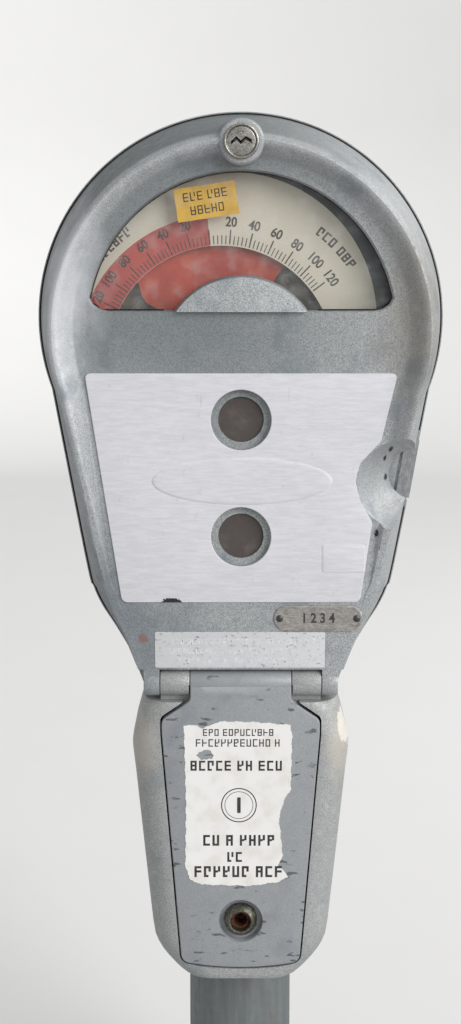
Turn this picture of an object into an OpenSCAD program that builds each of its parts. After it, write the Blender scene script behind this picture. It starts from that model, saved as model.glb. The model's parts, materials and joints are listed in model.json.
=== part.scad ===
// Clockwork parking meter: domed head with a hinged front cover, vault with a hinged door, post stub.
// X runs to the right, Y to the back, Z up. The origin is the centre of the post's lower end.

/* [Post] */
// Outside radius of the post
post_r = 30.15; // [27:0.05:33]
// Wall of the post
post_wall = 3; // [2:0.5:5]
// Length of post below the vault
post_free = 128; // [60:1:300]
// Length of post inside the socket
post_seat = 47; // [40:1:50]

/* [Vault] */
// Height of the vault housing
vault_h = 162; // [155:1:185]
// Half width of the vault at its widest
vault_half = 61; // [58:0.5:68]
// Half width of the vault at its foot
foot_half = 48.5; // [46:0.5:54]
// Half width of the vault under the head
neck_half = 55; // [54:0.5:58]
// Distance from the post's axis to the vault's front
vault_front = 57; // [56:0.5:60]
// Wall of the vault casting
vault_wall = 4.5; // [3.5:0.5:6]
// Thickness of the vault door
door_t = 7; // [6:0.5:8]
// Gap around the vault door
door_gap = 0.7; // [0.4:0.1:1.2]

/* [Hinge] */
// Radius of the hinge knuckles
knuckle_r = 7.5; // [6.5:0.5:8.5]
// Radius of the hinge pin
pin_r = 3; // [2:0.25:4]
// Half length of the door's barrel
barrel_half = 28; // [24:1:30]
// Width of each housing lug
lug_w = 16.2; // [12:0.2:18]
// Width of each cover ear
ear_w = 8.8; // [7:0.2:10]

/* [Head] */
// Radius of the head's round top
head_r = 113.4; // [108:0.2:122]
// Depth of the front cover
cover_depth = 50; // [46:1:54]
// Depth of the rear housing
rear_depth = 79.5; // [76:0.5:95]
// Wall of the head castings
head_wall = 4.5; // [3.5:0.5:6]
// Gap between cover and rear housing
seam_gap = 1; // [0.8:0.1:1.2]
// Depth of the bowl below the front ridge
bowl_depth = 8; // [6:0.5:9]
// Thickness of the bowl's floor
floor_t = 4.5; // [3.5:0.5:6]

/* [Windows] */
// Radius of the dial window
window_r = 82.7; // [78:0.1:86]
// Radius of the half disc at the window's foot
boss_r = 43.3; // [38:0.1:48]
// Thickness of the dial window's lens
lens_t = 3; // [2:0.5:4]
// Radius of the coin windows' holes
coin_hole_r = 16.3; // [14:0.1:18]
// Radius that can be seen through a coin glass
coin_glass_r = 12.4; // [11:0.1:13.5]
// Height of the coin wheel's axis above the vault
coin_rise = 125; // [122:0.5:128]
// Distance of a coin window from the coin wheel's axis
coin_orbit = 32; // [30:0.5:33]

/* [Locks] */
// Radius of the lock bodies
lock_r = 9.2; // [8:0.1:10]
// Radius of the head lock's plug
plug_r = 7.8; // [6.5:0.1:8]
// Length of the lock cams
cam_len = 13; // [12:0.5:14]

/* [Dial] */
// Radius of the dial's open middle
dial_r = 65.5; // [60:0.5:70]
// Length of the time pointer from its axis
pointer_len = 76; // [66:0.5:80]

/* [Clockwork] */
// Gear module
gear_m = 0.9; // [0.8:0.05:1]
// Teeth on the mainspring barrel
barrel_teeth = 60; // [54:6:60]
// Teeth on the centre wheel
centre_teeth = 48; // [42:6:48]
// Teeth on each pinion
pinion_teeth = 12; // [12:1:14]
// Radial clearance of a running fit
fit = 0.06; // [0.03:0.01:0.1]

/* [Hidden] */
$fn = 64;

// heights
vault_z = post_free + 2;
neck_z = vault_z + vault_h;
hinge_z = neck_z + 10;
cover_z = hinge_z + knuckle_r + 0.8;
head_z = neck_z + 209.5;
window_z = neck_z + 206.3;
sill_z = neck_z + 215.7;
boss_z = neck_z + 191.2;
coin_z = neck_z + coin_rise;
dial_z = neck_z + 182;
dial_x = -11;
lock_z = head_z + head_r - 19;
vault_lock_z = vault_z + 34.6;

// depths, from the front ridge back
front_y = -(vault_front + 8);
hinge_y = -vault_front + knuckle_r - 1.5;
floor_y = front_y + bowl_depth;
inner_y = floor_y + floor_t;
seam_y = front_y + cover_depth;
back_y = seam_y + seam_gap + rear_depth;
glass_y = inner_y + lens_t;
pointer_y = glass_y + 4.5;
dial_y = pointer_y + 3.5;
flag_y = dial_y + 4;
backing_y = flag_y + 3.5;
coin_y = seam_y + 5;
chute_y = seam_y + 9;
plate_y = seam_y + 9;
plates_gap = 28;
plate_t = 2;

// small sizes used in several places
arc_steps = 40;
cover_inset = 1.6;
coin_edge_x = 90;
side_lean = 9.5;
arbor_r = 2;
lip = 0.4;

// geartrain: pitch radii and arbor places
barrel_pr = gear_m * barrel_teeth / 2;
centre_pr = gear_m * centre_teeth / 2;
pinion_pr = gear_m * pinion_teeth / 2;
barrel_at = [28, dial_z - 4];
centre_dir = 215;
centre_at = barrel_at + (barrel_pr + pinion_pr) * [cos(centre_dir), sin(centre_dir)];
escape_dir = 200;
escape_at = centre_at + (centre_pr + pinion_pr) * [cos(escape_dir), sin(escape_dir)];
pallet_dir = 255;
pallet_at = escape_at + 17.5 * [cos(pallet_dir), sin(pallet_dir)];
balance_at = pallet_at + 17 * [cos(pallet_dir), sin(pallet_dir)];
escape_r = 11;
escape_teeth = 15;

// ---------- helpers ----------

// cylinder along +Y from y0, centred at x, z
module ycyl(x, z, y0, len, r, r2 = undef) {
    translate([x, y0, z])
        rotate([-90, 0, 0])
            cylinder(h = len, r1 = r, r2 = is_undef(r2) ? r : r2);
}

// cylinder along +X from x0, centred at y, z
module xcyl(x0, y, z, len, r) {
    translate([x0, y, z])
        rotate([0, 90, 0])
            cylinder(h = len, r = r);
}

// box from a low corner to a high corner
module box(a, b) {
    translate(a)
        cube(b - a);
}

// flat shape drawn in x, z and raised along +Y
module slab(y0, t) {
    translate([0, y0 + t, 0])
        rotate([90, 0, 0])
            linear_extrude(height = t)
                children();
}

// mirror copy on the left
module both() {
    children();
    mirror([1, 0, 0])
        children();
}

// outline of the head: round top, then corner points down each side
function head_ring(r, zc, low) = concat(
    [for (i = [0:arc_steps])
        let (a = -20 + 220 * i / arc_steps) [r * cos(a), zc + r * sin(a)]],
    [for (p = low) [-p[0], p[1]]],
    [for (i = [len(low) - 1:-1:0]) low[i]]);

// solid through rings, each given as [y, points]
module loft(rings) {
    n = len(rings[0][1]);
    m = len(rings);
    points = [for (ring = rings, p = ring[1]) [p[0], ring[0], p[1]]];
    sides = [for (k = [0:m - 2], i = [0:n - 1], half = [0, 1])
        let (j = (i + 1) % n, a = k * n, b = (k + 1) * n)
            half == 0 ? [a + i, a + j, b + j] : [a + i, b + j, b + i]];
    front = [[for (i = [n - 1:-1:0]) i]];
    back = [[for (i = [0:n - 1]) (m - 1) * n + i]];
    polyhedron(points = points, faces = concat(front, sides, back));
}

// side points of the head at the seam, moved in by d; the foot stays level
function rim_low(d) = [[88.4 - d, neck_z + 71], [84.5 - d, neck_z + 57 + 0.2 * d],
    [79.6 - d, neck_z + 46 + 0.3 * d], [70.5 - d, neck_z + 31.5 + 0.5 * d],
    [62.8 - d, cover_z + 0.5 * d]];
function rim_ring(d, foot) = head_ring(head_r - d, head_z, concat(rim_low(d), [foot]));

// the same for the cover, whose foot is higher
function cover_ring(d, up) = head_ring(head_r - d, head_z, [for (p = rim_low(d))
    [p[0], max(p[1], cover_z + up)]]);
function ridge_ring(d, up) = head_ring(head_r - 11 - d, head_z - 5.5,
    [[76 - d, neck_z + 80], [71.5 - d, neck_z + 62], [67 - d, neck_z + 50],
     [61 - d, neck_z + 37], [55.5 - 0.5 * d, cover_z + up]]);
function floor_ring(r, up) = head_ring(r, window_z,
    [[73, neck_z + 80], [68.6, neck_z + 62], [64.8, neck_z + 51], [58.6, neck_z + 38],
     [53, cover_z + up]]);

// rounded rectangle in x, z
module round_rect(w, h, r) {
    square([w, h - 2 * r], center = true);
    square([w - 2 * r, h], center = true);
    for (x = [-1, 1], z = [-1, 1])
        translate([x * (w / 2 - r), z * (h / 2 - r)])
            circle(r = r);
}

// half-moon of the dial window, grown by g
module window_shape(g) {
    difference() {
        translate([0, window_z])
            circle(r = window_r + g, $fn = 96);
        translate([-150, sill_z - g - 200])
            square([300, 200]);
        for (s = [-1, 1])
            translate([s * (window_r - 2.2), sill_z - g])
                rotate(45)
                    square(13, center = true);
        if (g < 1)
            translate([0, boss_z])
                circle(r = boss_r);
    }
}

// ---------- post ----------

module post_tube() {
    color("slategray")
        difference() {
            cylinder(h = post_free + post_seat, r = post_r, $fn = 96);
            translate([0, 0, -1])
                cylinder(h = post_free + post_seat + 2, r = post_r - post_wall, $fn = 96);
            // clamp groove for the set screws
            translate([0, 0, post_free])
                difference() {
                    cylinder(h = 16, r = post_r + 1, $fn = 96);
                    translate([0, 0, -1])
                        cylinder(h = 18, r = post_r - 1, $fn = 96);
                }
        }
}

module post_set_screws() {
    color("dimgray")
        for (a = [50, 130])
            translate([0, 0, vault_z + 10])
                rotate([0, 0, a])
                    rotate([0, 90, 0])
                        translate([0, 0, post_r - 1])
                            difference() {
                                cylinder(h = 14, r = 4);
                                translate([0, 0, 10])
                                    cylinder(h = 5, r = 2, $fn = 6);
                            }
}

// ---------- vault ----------

function arc(c, r, from, to) = [for (i = [0:arc_steps / 4])
    let (a = from + (to - from) * i / (arc_steps / 4)) c + r * [cos(a), sin(a)]];

// plan of the vault: flat front with round corners and a rounder back
module vault_plan(half, inset) {
    w = half - inset;
    f = vault_front - inset;
    r = 16 - inset;
    k = w - 8;
    polygon(concat(arc([w - r, -f + r], r, -90, 0), arc([w - k, w - 4 - k], k, 0, 90),
        arc([k - w, w - 4 - k], k, 90, 180), arc([r - w, -f + r], r, 180, 270)));
}

// vault between two heights; the outline swells from the foot to the shoulder
module vault_body(inset, z_low, z_high, low_half) {
    hull()
        for (p = [[z_low, low_half], [max(z_low, vault_z + 6), max(low_half, foot_half)],
            [neck_z - 28, vault_half], [z_high - 0.1, neck_half]])
            translate([0, 0, p[0]])
                linear_extrude(height = 0.1)
                    vault_plan(p[1], inset);
}

// door outline in x, z, grown by g
module door_shape(g) {
    shoulder = vault_half - 17;
    toe = foot_half - 15;
    low_z = vault_z + 9;
    polygon([[-barrel_half - g, hinge_z], [-barrel_half - g, neck_z + 1 + 2.6 * g],
        [-shoulder - g, neck_z - 11 + 2.6 * g], [-shoulder - g, neck_z - 20],
        [-toe - g, low_z + 8], [-toe + 7, low_z - g], [toe - 7, low_z - g],
        [toe + g, low_z + 8], [shoulder + g, neck_z - 20],
        [shoulder + g, neck_z - 11 + 2.6 * g], [barrel_half + g, neck_z + 1 + 2.6 * g],
        [barrel_half + g, hinge_z]]);
}

module lower_housing() {
    lug_x = barrel_half + lip;
    socket_top = vault_z + 44;
    color("darkgray")
        difference() {
            union() {
                vault_body(0, vault_z, neck_z, foot_half - 9);
                // hinge lugs
                both()
                    intersection() {
                        union() {
                            xcyl(lug_x, hinge_y, hinge_z, lug_w, knuckle_r);
                            box([lug_x, hinge_y, neck_z - 2],
                                [lug_x + lug_w, hinge_y + knuckle_r, hinge_z]);
                        }
                        box([0, -200, neck_z - 2], [100, 200, hinge_z + knuckle_r]);
                    }
            }
            // chamber for the coin box
            intersection() {
                vault_body(vault_wall, socket_top, neck_z - vault_wall, foot_half + 3);
                box([-100, -vault_front + 6, 0], [100, 100, neck_z]);
            }
            // passages for the chute and the screws in the top
            box([-17.5, chute_y - 1, neck_z - 10], [17.5, chute_y + 9.6, neck_z + 1]);
            for (p = screw_places())
                translate([p[0], p[1], neck_z - 12])
                    cylinder(h = 20, r = 2.5);
            // door opening and the step behind it for the lock's cam
            slab(-vault_front - 1, door_t + 1.6)
                door_shape(door_gap);
            box([-27, -vault_front + 5, vault_z + 21], [27, -vault_front + 20, socket_top + 1]);
            box([-27, -vault_front + 14, vault_z + 16], [27, -vault_front + 20, vault_z + 22]);
            // room behind the barrel and below the ears
            xcyl(-lug_x, hinge_y, hinge_z, 2 * lug_x, knuckle_r + 0.8);
            both()
                xcyl(lug_x + lug_w, hinge_y, hinge_z, 20, knuckle_r + 1.2);
            // socket for the post
            translate([0, 0, vault_z - 1])
                cylinder(h = 60, r = post_r + 0.15, $fn = 96);
            for (a = [50, 130])
                translate([0, 0, vault_z + 10])
                    rotate([0, 0, a])
                        rotate([0, 90, 0])
                            cylinder(h = 90, r = 4);
            xcyl(-80, hinge_y, hinge_z, 160, pin_r);
        }
}

module hinge_pin() {
    reach = barrel_half + lug_w + ear_w;
    color("gray")
        difference() {
            xcyl(-reach, hinge_y, hinge_z, 2 * reach, pin_r);
            both()
                xcyl(reach - 1, hinge_y, hinge_z, 2, 0.8);
        }
}

module vault_door() {
    color("lightslategray")
        difference() {
            union() {
                xcyl(-barrel_half, hinge_y, hinge_z, 2 * barrel_half, knuckle_r);
                slab(-vault_front, door_t)
                    door_shape(0);
                // collar behind the lock
                ycyl(0, vault_lock_z, -vault_front + door_t - 1, 3, 13);
            }
            xcyl(-80, hinge_y, hinge_z, 160, pin_r + fit);
            // round corners of the barrel's top, above the axis
            difference() {
                box([-80, -vault_front - 1, hinge_z - 0.01], [80, -vault_front + 20, hinge_z + 20]);
                xcyl(-80, hinge_y, hinge_z, 160, knuckle_r);
            }
            ycyl(0, vault_lock_z, -vault_front - 1, 30, lock_r);
            ycyl(0, vault_lock_z, -vault_front - 1, 5, 12);
        }
}

module vault_sticker() {
    color("white")
        slab(-vault_front - 0.3, 0.3)
            translate([-1.5, neck_z - 53])
                difference() {
                    round_rect(57, 93, 4);
                    for (z = [30, 6, -18])
                        translate([30, z])
                            circle(r = 3);
                }
}

module vault_lock_body() {
    color("gray")
        difference() {
            ycyl(0, vault_lock_z, -vault_front - 1.5, 16, lock_r);
            ycyl(0, vault_lock_z, -vault_front - 2, 20, 5.2 + fit);
        }
}

module vault_lock_plug() {
    color("dimgray")
        difference() {
            union() {
                ycyl(0, vault_lock_z, -vault_front + 0.5, 14.3, 5.2);
                ycyl(0, vault_lock_z, -vault_front + 14, 4, 3);
            }
            ycyl(0, vault_lock_z, -vault_front, 9, 3.8);
            ycyl(0, vault_lock_z, -vault_front + 8, 4, 1);
        }
}

// lever that turns with a plug, pointing to +X
module cam(z, y, len) {
    slab(y, 2.5)
        translate([0, z])
            difference() {
                union() {
                    circle(r = 5.5);
                    translate([0, -4])
                        square([len - 4, 8]);
                    translate([len - 4, 0])
                        circle(r = 4);
                }
                circle(r = 3);
            }
}

module vault_lock_cam() {
    color("goldenrod")
        cam(vault_lock_z, -vault_front + 15, cam_len + 2);
}

module coin_box() {
    low = [-33, -vault_front + 14, vault_z + 50];
    high = [33, 32, neck_z - 18];
    color("steelblue")
        difference() {
            box(low, high);
            box(low + [2, 2, 2], high + [-2, -2, 1]);
        }
}

module coin_box_lid() {
    z = neck_z - 17.7;
    color("silver")
        difference() {
            union() {
                box([-35, -vault_front + 12, z], [35, 34, z + 2]);
                box([-30.5, -vault_front + 16.5, z - 3], [30.5, 29.5, z]);
            }
            box([-15.5, chute_y, z - 10], [15.5, chute_y + 8.6, z + 10]);
            box([-28.5, -vault_front + 18.5, z - 4], [28.5, 27.5, z - 1]);
        }
}

// ---------- rear housing ----------

function screw_places() = [for (x = [-28, 28], y = [10, 36]) [x, y]];

// slanting cut of the coin scoop; g grows it
module scoop(g) {
    translate([84, front_y - 12, coin_z - 3])
        rotate([0, 0, -14.6])
            rotate([-90, 0, 0])
                cylinder(h = 68, r1 = 28.6 + g, r2 = 13.6 + g);
}

module rear_housing() {
    y0 = seam_y + seam_gap;
    foot = 56;
    boss_len = 12;
    color("gray")
        difference() {
            union() {
                difference() {
                    loft([[y0, rim_ring(0, [foot, neck_z])],
                        [y0 + rear_depth - 36, rim_ring(2, [foot - 2, neck_z])],
                        [y0 + rear_depth - 13, rim_ring(10, [foot - 8, neck_z])],
                        [y0 + rear_depth, rim_ring(26, [foot - 20, neck_z])]]);
                    loft([[y0 - 1, rim_ring(head_wall, [foot - head_wall, neck_z + 5])],
                        [y0 + rear_depth - 37, rim_ring(head_wall + 2, [foot - 8, neck_z + 5])],
                        [y0 + rear_depth - 16, rim_ring(head_wall + 10, [foot - 14, neck_z + 5])],
                        [y0 + rear_depth - head_wall, rim_ring(head_wall + 24,
                            [foot - 24, neck_z + 5])]]);
                }
                // chin that closes the gap behind the hinge
                box([-53, hinge_y + knuckle_r + 1.2, neck_z], [53, y0 + 1, cover_z - 2.3]);
                // strike for the head lock
                box([-9, y0 + 1, lock_z + 8.2], [9, y0 + 3.5, head_z + head_r - 3]);
                // pads for the movement
                for (p = standoff_places())
                    ycyl(p[0], p[1], back_y - head_wall - boss_len, boss_len + 1, 7);
                // wall of the coin inlet
                intersection() {
                    box([coin_edge_x - 9, y0, coin_z - 22], [coin_edge_x + 20, y0 + 18, coin_z + 22]);
                    loft([[y0, rim_ring(0.5, [foot, neck_z])],
                        [y0 + 20, rim_ring(1, [foot, neck_z])]]);
                }
            }
            // slanting face and slot where the coin goes in
            at_inlet()
                box([-30, -60, -17], [60, 2, 17]);
            box([30, coin_y - 1.6, coin_z - 14.5], [140, coin_y + 1.6, coin_z + 14.5]);
            // opening in the floor for the chute
            box([-17.5, chute_y - 1, neck_z - 10], [17.5, chute_y + 9.6, neck_z + 12]);
            for (p = screw_places())
                translate([p[0], p[1], neck_z - 1])
                    cylinder(h = 20, r = 2.8);
            for (p = standoff_places())
                ycyl(p[0], p[1], back_y - head_wall - boss_len - 1, boss_len, 2);
        }
}

// puts a shape on the inlet's slanting face: x along the face, y into the head
module at_inlet() {
    translate([coin_edge_x, seam_y, coin_z])
        rotate([0, side_lean, 0])
            rotate([0, 0, 45])
                children();
}

function standoff_places() = [for (x = [-46, 46], z = [neck_z + 100, neck_z + 218]) [x, z]];

module housing_screws() {
    color("silver")
        for (p = screw_places())
            translate([p[0], p[1], 0]) {
                translate([0, 0, neck_z - 12])
                    cylinder(h = 17, r = 2.4);
                translate([0, 0, neck_z + 5])
                    difference() {
                        cylinder(h = 4, r = 4.2);
                        translate([0, 0, 2])
                            cylinder(h = 3, r = 2, $fn = 6);
                    }
            }
}

module cover_seal() {
    color("black")
        slab(seam_y + 0.3, seam_gap - 0.3)
            difference() {
                polygon(rim_ring(1.5, [54.5, cover_z + 2.1]));
                polygon(rim_ring(3.1, [52.9, cover_z + 3.9]));
                translate([70, coin_z - 30])
                    square([60, 60]);
            }
}

module coin_slot_plate() {
    color("silver")
        difference() {
            at_inlet()
                box([1.2, 0, -16.8], [14, 2, 16.8]);
            box([40, coin_y - 1.3, coin_z - 13.5], [140, coin_y + 1.3, coin_z + 13.5]);
        }
}

// ---------- front cover ----------

// everything between two depths
module between(y0, y1) {
    box([-200, y0, 0], [200, y1, 800]);
}

module cover_outside() {
    intersection() {
        loft([[front_y, ridge_ring(3, 1.5)], [front_y + 1, ridge_ring(1.2, 0.6)],
            [front_y + 3, ridge_ring(0, 0)], [seam_y + 2, cover_ring(cover_inset, 0)]]);
        between(front_y - 1, seam_y);
    }
}

// space the bowl takes away in front of the cover's floor
module bowl() {
    intersection() {
        loft([[front_y - 1, ridge_ring(1.4, -2)], [front_y + 1, ridge_ring(2.4, -2)],
            [floor_y + 2, floor_ring(window_r + 6, -2)]]);
        between(front_y - 2, floor_y);
    }
    // the ridge fades out towards the hinge
    rotate([90, 0, 90])
        linear_extrude(height = 300, center = true)
            polygon([[front_y - 2, neck_z], [floor_y, neck_z], [floor_y, neck_z + 53],
                [front_y, neck_z + 150], [front_y - 2, neck_z + 150]]);
}

module cover_hollow() {
    intersection() {
        loft([[inner_y - 2, ridge_ring(4.4, 5)],
            [seam_y + 1, cover_ring(cover_inset + head_wall, 4.5)]]);
        between(inner_y, seam_y + 1);
    }
}

module front_cover() {
    ear_x = barrel_half + lip + lug_w + lip;
    color("darkgray")
        difference() {
            union() {
                difference() {
                    cover_outside();
                    bowl();
                    cover_hollow();
                }
                // half disc at the window's foot
                intersection() {
                    ycyl(0, boss_z, floor_y - 4, floor_t + 4, boss_r);
                    box([-100, -100, sill_z - 1], [100, 0, window_z + 60]);
                }
                // wall of the scoop
                intersection() {
                    cover_outside();
                    scoop(3);
                    box([0, floor_y, neck_z], [150, seam_y, head_z]);
                }
                // lock boss
                ycyl(0, lock_z, front_y - 1, 18, lock_r + 2.6);
                ycyl(0, lock_z, inner_y - 4, seam_y - inner_y - 0.4, lock_r + 1.6);
                // seats behind the coin windows
                for (s = [-1, 1])
                    ycyl(0, coin_z + s * coin_orbit, inner_y - 1, 4.5, coin_hole_r + 2.5);
                // ears
                both() {
                    xcyl(ear_x, hinge_y, hinge_z, ear_w, knuckle_r);
                    box([ear_x, hinge_y - knuckle_r, hinge_z],
                        [ear_x + ear_w, hinge_y + knuckle_r, cover_z + 1]);
                }
            }
            slab(front_y - 1, 40)
                window_shape(0);
            for (s = [-1, 1]) {
                ycyl(0, coin_z + s * coin_orbit, front_y - 1, floor_t + bowl_depth - 1, coin_hole_r);
                ycyl(0, coin_z + s * coin_orbit, front_y, 40, coin_glass_r);
                ycyl(0, coin_z + s * coin_orbit, inner_y + 0.5, 40, coin_hole_r - 1.3);
            }
            scoop(0);
            both()
                ycyl(47, sill_z - 6.6, inner_y - 2, 5, 1.5);
            for (s = [-1, 1])
                ycyl(tag_at[0] + s * rivet_gap, tag_at[1], floor_y - 1, 8, 1.2);
            ycyl(0, lock_z, front_y - 3, 80, lock_r);
            xcyl(-80, hinge_y, hinge_z, 160, pin_r + fit);
        }
}

module window_lens() {
    color("lightblue", 0.4)
        slab(inner_y, lens_t)
            intersection() {
                window_shape(3);
                translate([-150, sill_z - 4])
                    square([300, 200]);
            }
}

module lens_gasket() {
    color("black")
        slab(glass_y, 0.8)
            difference() {
                window_shape(2.6);
                translate([0, window_z])
                    circle(r = window_r - 0.5, $fn = 96);
                translate([-150, sill_z - 200])
                    square([300, 200]);
            }
}

module lens_strips() {
    color("silver")
        slab(glass_y + 0.8, 1.2)
            difference() {
                both()
                    translate([34, sill_z - 7])
                        square([26, 7]);
                both()
                    translate([47, sill_z - 6.6])
                        circle(r = 1.6);
            }
}

module lens_screws() {
    color("dimgray")
        both() {
            ycyl(47, sill_z - 6.6, inner_y - 0.5, lens_t + 2.5, 1.5);
            ycyl(47, sill_z - 6.6, inner_y + lens_t + 2, 1.4, 2.8);
        }
}

module hours_sticker() {
    color("gold")
        slab(glass_y + 0.05, 0.25)
            translate([-18.5, window_z + 67])
                rotate(8.6)
                    square([33, 17.5], center = true);
}

module face_plate() {
    color("whitesmoke")
        difference() {
            slab(floor_y - 0.8, 0.8)
                difference() {
                    hull() {
                        both()
                            translate([81.2, neck_z + 179.4])
                                circle(r = 3, $fn = 32);
                        both()
                            translate([61.5, neck_z + 60.5])
                                circle(r = 4, $fn = 32);
                    }
                    for (s = [-1, 1])
                        translate([0, coin_z + s * coin_orbit])
                            circle(r = coin_hole_r);
                }
            scoop(1);
        }
}

module coin_glasses() {
    color("dimgray", 0.6)
        for (s = [-1, 1])
            ycyl(0, coin_z + s * coin_orbit, inner_y + 0.5, 2, coin_hole_r - 1.4);
}

module coin_glass_rings() {
    color("silver")
        for (s = [-1, 1])
            difference() {
                ycyl(0, coin_z + s * coin_orbit, inner_y + 2.5, 1.5, coin_hole_r - 1.4);
                ycyl(0, coin_z + s * coin_orbit, inner_y + 2, 4, coin_glass_r);
            }
}

tag_at = [42.5, neck_z + 47.5];
rivet_gap = 21.2;

module number_tag() {
    color("silver")
        slab(floor_y - 0.8, 0.8)
            translate(tag_at)
                difference() {
                    round_rect(48.4, 14.6, 7.2);
                    for (s = [-1, 1])
                        translate([s * rivet_gap, 0])
                            circle(r = 1.2);
                }
}

module tag_rivets() {
    color("gray")
        for (s = [-1, 1]) {
            ycyl(tag_at[0] + s * rivet_gap, tag_at[1], floor_y - 0.8, 3.5, 1.2);
            ycyl(tag_at[0] + s * rivet_gap, tag_at[1], floor_y - 1.4, 0.6, 2);
        }
}

module instruction_label() {
    color("white")
        slab(floor_y - 0.3, 0.3)
            translate([-0.5, neck_z + 29.7])
                square([94, 20.4], center = true);
}

module head_lock_body() {
    color("silver")
        difference() {
            ycyl(0, lock_z, front_y - 3.5, seam_y - front_y + 3.5, lock_r);
            ycyl(0, lock_z, front_y - 4, 90, plug_r + fit);
        }
}

module head_lock_nut() {
    color("gray")
        difference() {
            translate([0, seam_y - 3.8, lock_z])
                rotate([-90, 0, 0])
                    cylinder(h = 3.2, r = 12, $fn = 6);
            ycyl(0, lock_z, seam_y - 8, 12, lock_r);
        }
}

module head_lock_plug() {
    color("gainsboro")
        difference() {
            union() {
                ycyl(0, lock_z, front_y - 2.8, seam_y - front_y + 3.2, plug_r);
                ycyl(0, lock_z, seam_y, 9, 3);
            }
            // wavy keyway
            slab(front_y - 4, 12)
                translate([0, lock_z])
                    for (s = [-1, 1]) {
                        translate([s * 2, 0.2])
                            rotate(s * 38)
                                square([4.6, 1.5], center = true);
                        translate([s * 4.6, 0.2])
                            rotate(-s * 35)
                                square([3.4, 1.5], center = true);
                    }
        }
}

module head_lock_cam() {
    color("goldenrod")
        cam(lock_z, seam_y + seam_gap + 4.4, cam_len);
}

// ---------- dial ----------

module dial_plate() {
    color("ivory")
        slab(dial_y, 1)
            difference() {
                translate([0, window_z])
                    circle(r = window_r + 2.5, $fn = 96);
                translate([-150, sill_z - 208])
                    square([300, 200]);
                translate([dial_x, dial_z])
                    circle(r = dial_r, $fn = 96);
            }
}

module dial_backing() {
    color("rosybrown")
        slab(backing_y, 1)
            intersection() {
                translate([dial_x, dial_z])
                    circle(r = dial_r + 2, $fn = 96);
                translate([-150, sill_z - 16])
                    square([300, 200]);
            }
}

// drawn pointing up, then turned to its parked place on the left
module time_pointer() {
    color("black") {
        translate([dial_x, 0, dial_z])
            rotate([0, -75, 0])
                slab(pointer_y, 0.8)
                    difference() {
                        union() {
                            circle(r = 5);
                            polygon([[-2.2, 0], [-0.5, pointer_len], [0.5, pointer_len], [2.2, 0]]);
                            translate([-2.5, -12])
                                square([5, 12]);
                        }
                        circle(r = arbor_r);
                    }
        ycyl(dial_x, dial_z, pointer_y - 1, plate_y + plates_gap + plate_t - pointer_y + 1, arbor_r);
        difference() {
            ycyl(dial_x, dial_z, pointer_y + 0.8, 2, 4);
            ycyl(dial_x, dial_z, pointer_y, 4, arbor_r);
        }
    }
}

module red_flag() {
    left = 45;
    right = 31;
    r = dial_r - 1;
    color("indianred")
        difference() {
            union() {
                slab(flag_y, 1)
                    translate([dial_x, dial_z])
                        polygon(concat([[0, 0]],
                            [for (i = [0:24]) let (a = 90 + left - (left + right) * i / 24)
                                [r * cos(a), r * sin(a)]]));
                ycyl(dial_x, dial_z, flag_y - 1.5, 4.5, 5);
            }
            ycyl(dial_x, dial_z, flag_y - 5, 20, arbor_r + fit);
        }
}

module dial_pillars() {
    color("peru") {
        for (x = [-71, 51])
            ycyl(x, sill_z + 5, dial_y + 1, plate_y - dial_y - 1, 3);
        for (x = [-60, 36])
            ycyl(x, sill_z - 11, backing_y + 1, plate_y - backing_y - 1, 3);
    }
}

// ---------- clockwork ----------

// slim straight-flanked teeth on a disc, one tooth centred at angle turn
function gear_points(teeth, turn) = [for (i = [0:teeth - 1], k = [0:3])
    let (pr = gear_m * teeth / 2, step = 360 / teeth,
        r = (k == 0 || k == 3) ? pr - 1.15 * gear_m : pr + 0.85 * gear_m,
        w = (k == 0 || k == 3) ? 0.29 : 0.09,
        a = turn + step * (i + (k < 2 ? -w : w)))
    [r * cos(a), r * sin(a)]];

module gear(teeth, turn, at, y, t, hole) {
    slab(y, t)
        translate(at)
            difference() {
                polygon(gear_points(teeth, turn));
                circle(r = hole);
            }
}

module arbor(at) {
    ycyl(at[0], at[1], plate_y + fit, plates_gap + 2 * plate_t - 2 * fit, arbor_r - fit);
}

module movement_plate(y) {
    difference() {
        slab(y, plate_t)
            translate([0, neck_z + 159])
                round_rect(116, 140, 10);
        for (at = [barrel_at, centre_at, escape_at, pallet_at, balance_at, [0, coin_z]])
            ycyl(at[0], at[1], y - 1, plate_t + 2, arbor_r + (at == barrel_at ? 2 : 0));
        ycyl(dial_x, dial_z, y - 1, plate_t + 2, arbor_r + fit);
        for (p = pillar_places())
            ycyl(p[0], p[1], y - 1, plate_t + 2, 2);
    }
}

function pillar_places() = [for (x = [-50, 50], z = [neck_z + 108, neck_z + 210]) [x, z]];

module front_movement_plate() {
    color("darkkhaki") {
        movement_plate(plate_y);
        // arm that carries the dial's left foot
        box([-78, plate_y, sill_z - 17], [-57, plate_y + plate_t, sill_z + 12]);
    }
}

module rear_movement_plate() {
    color("darkkhaki")
        difference() {
            movement_plate(plate_y + plate_t + plates_gap);
            for (p = standoff_places())
                ycyl(p[0], p[1], plate_y + plates_gap, 10, 2);
        }
}

module movement_pillars() {
    color("goldenrod")
        for (p = pillar_places()) {
            ycyl(p[0], p[1], plate_y + plate_t, plates_gap, 4);
            ycyl(p[0], p[1], plate_y - 1.5, plates_gap + 2 * plate_t + 3, 2);
        }
}

module movement_standoffs() {
    y = plate_y + 2 * plate_t + plates_gap;
    color("silver")
        for (p = standoff_places())
            difference() {
                ycyl(p[0], p[1], y, back_y - head_wall - 12 - y, 4);
                ycyl(p[0], p[1], y - 1, 80, 2);
            }
}

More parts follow.
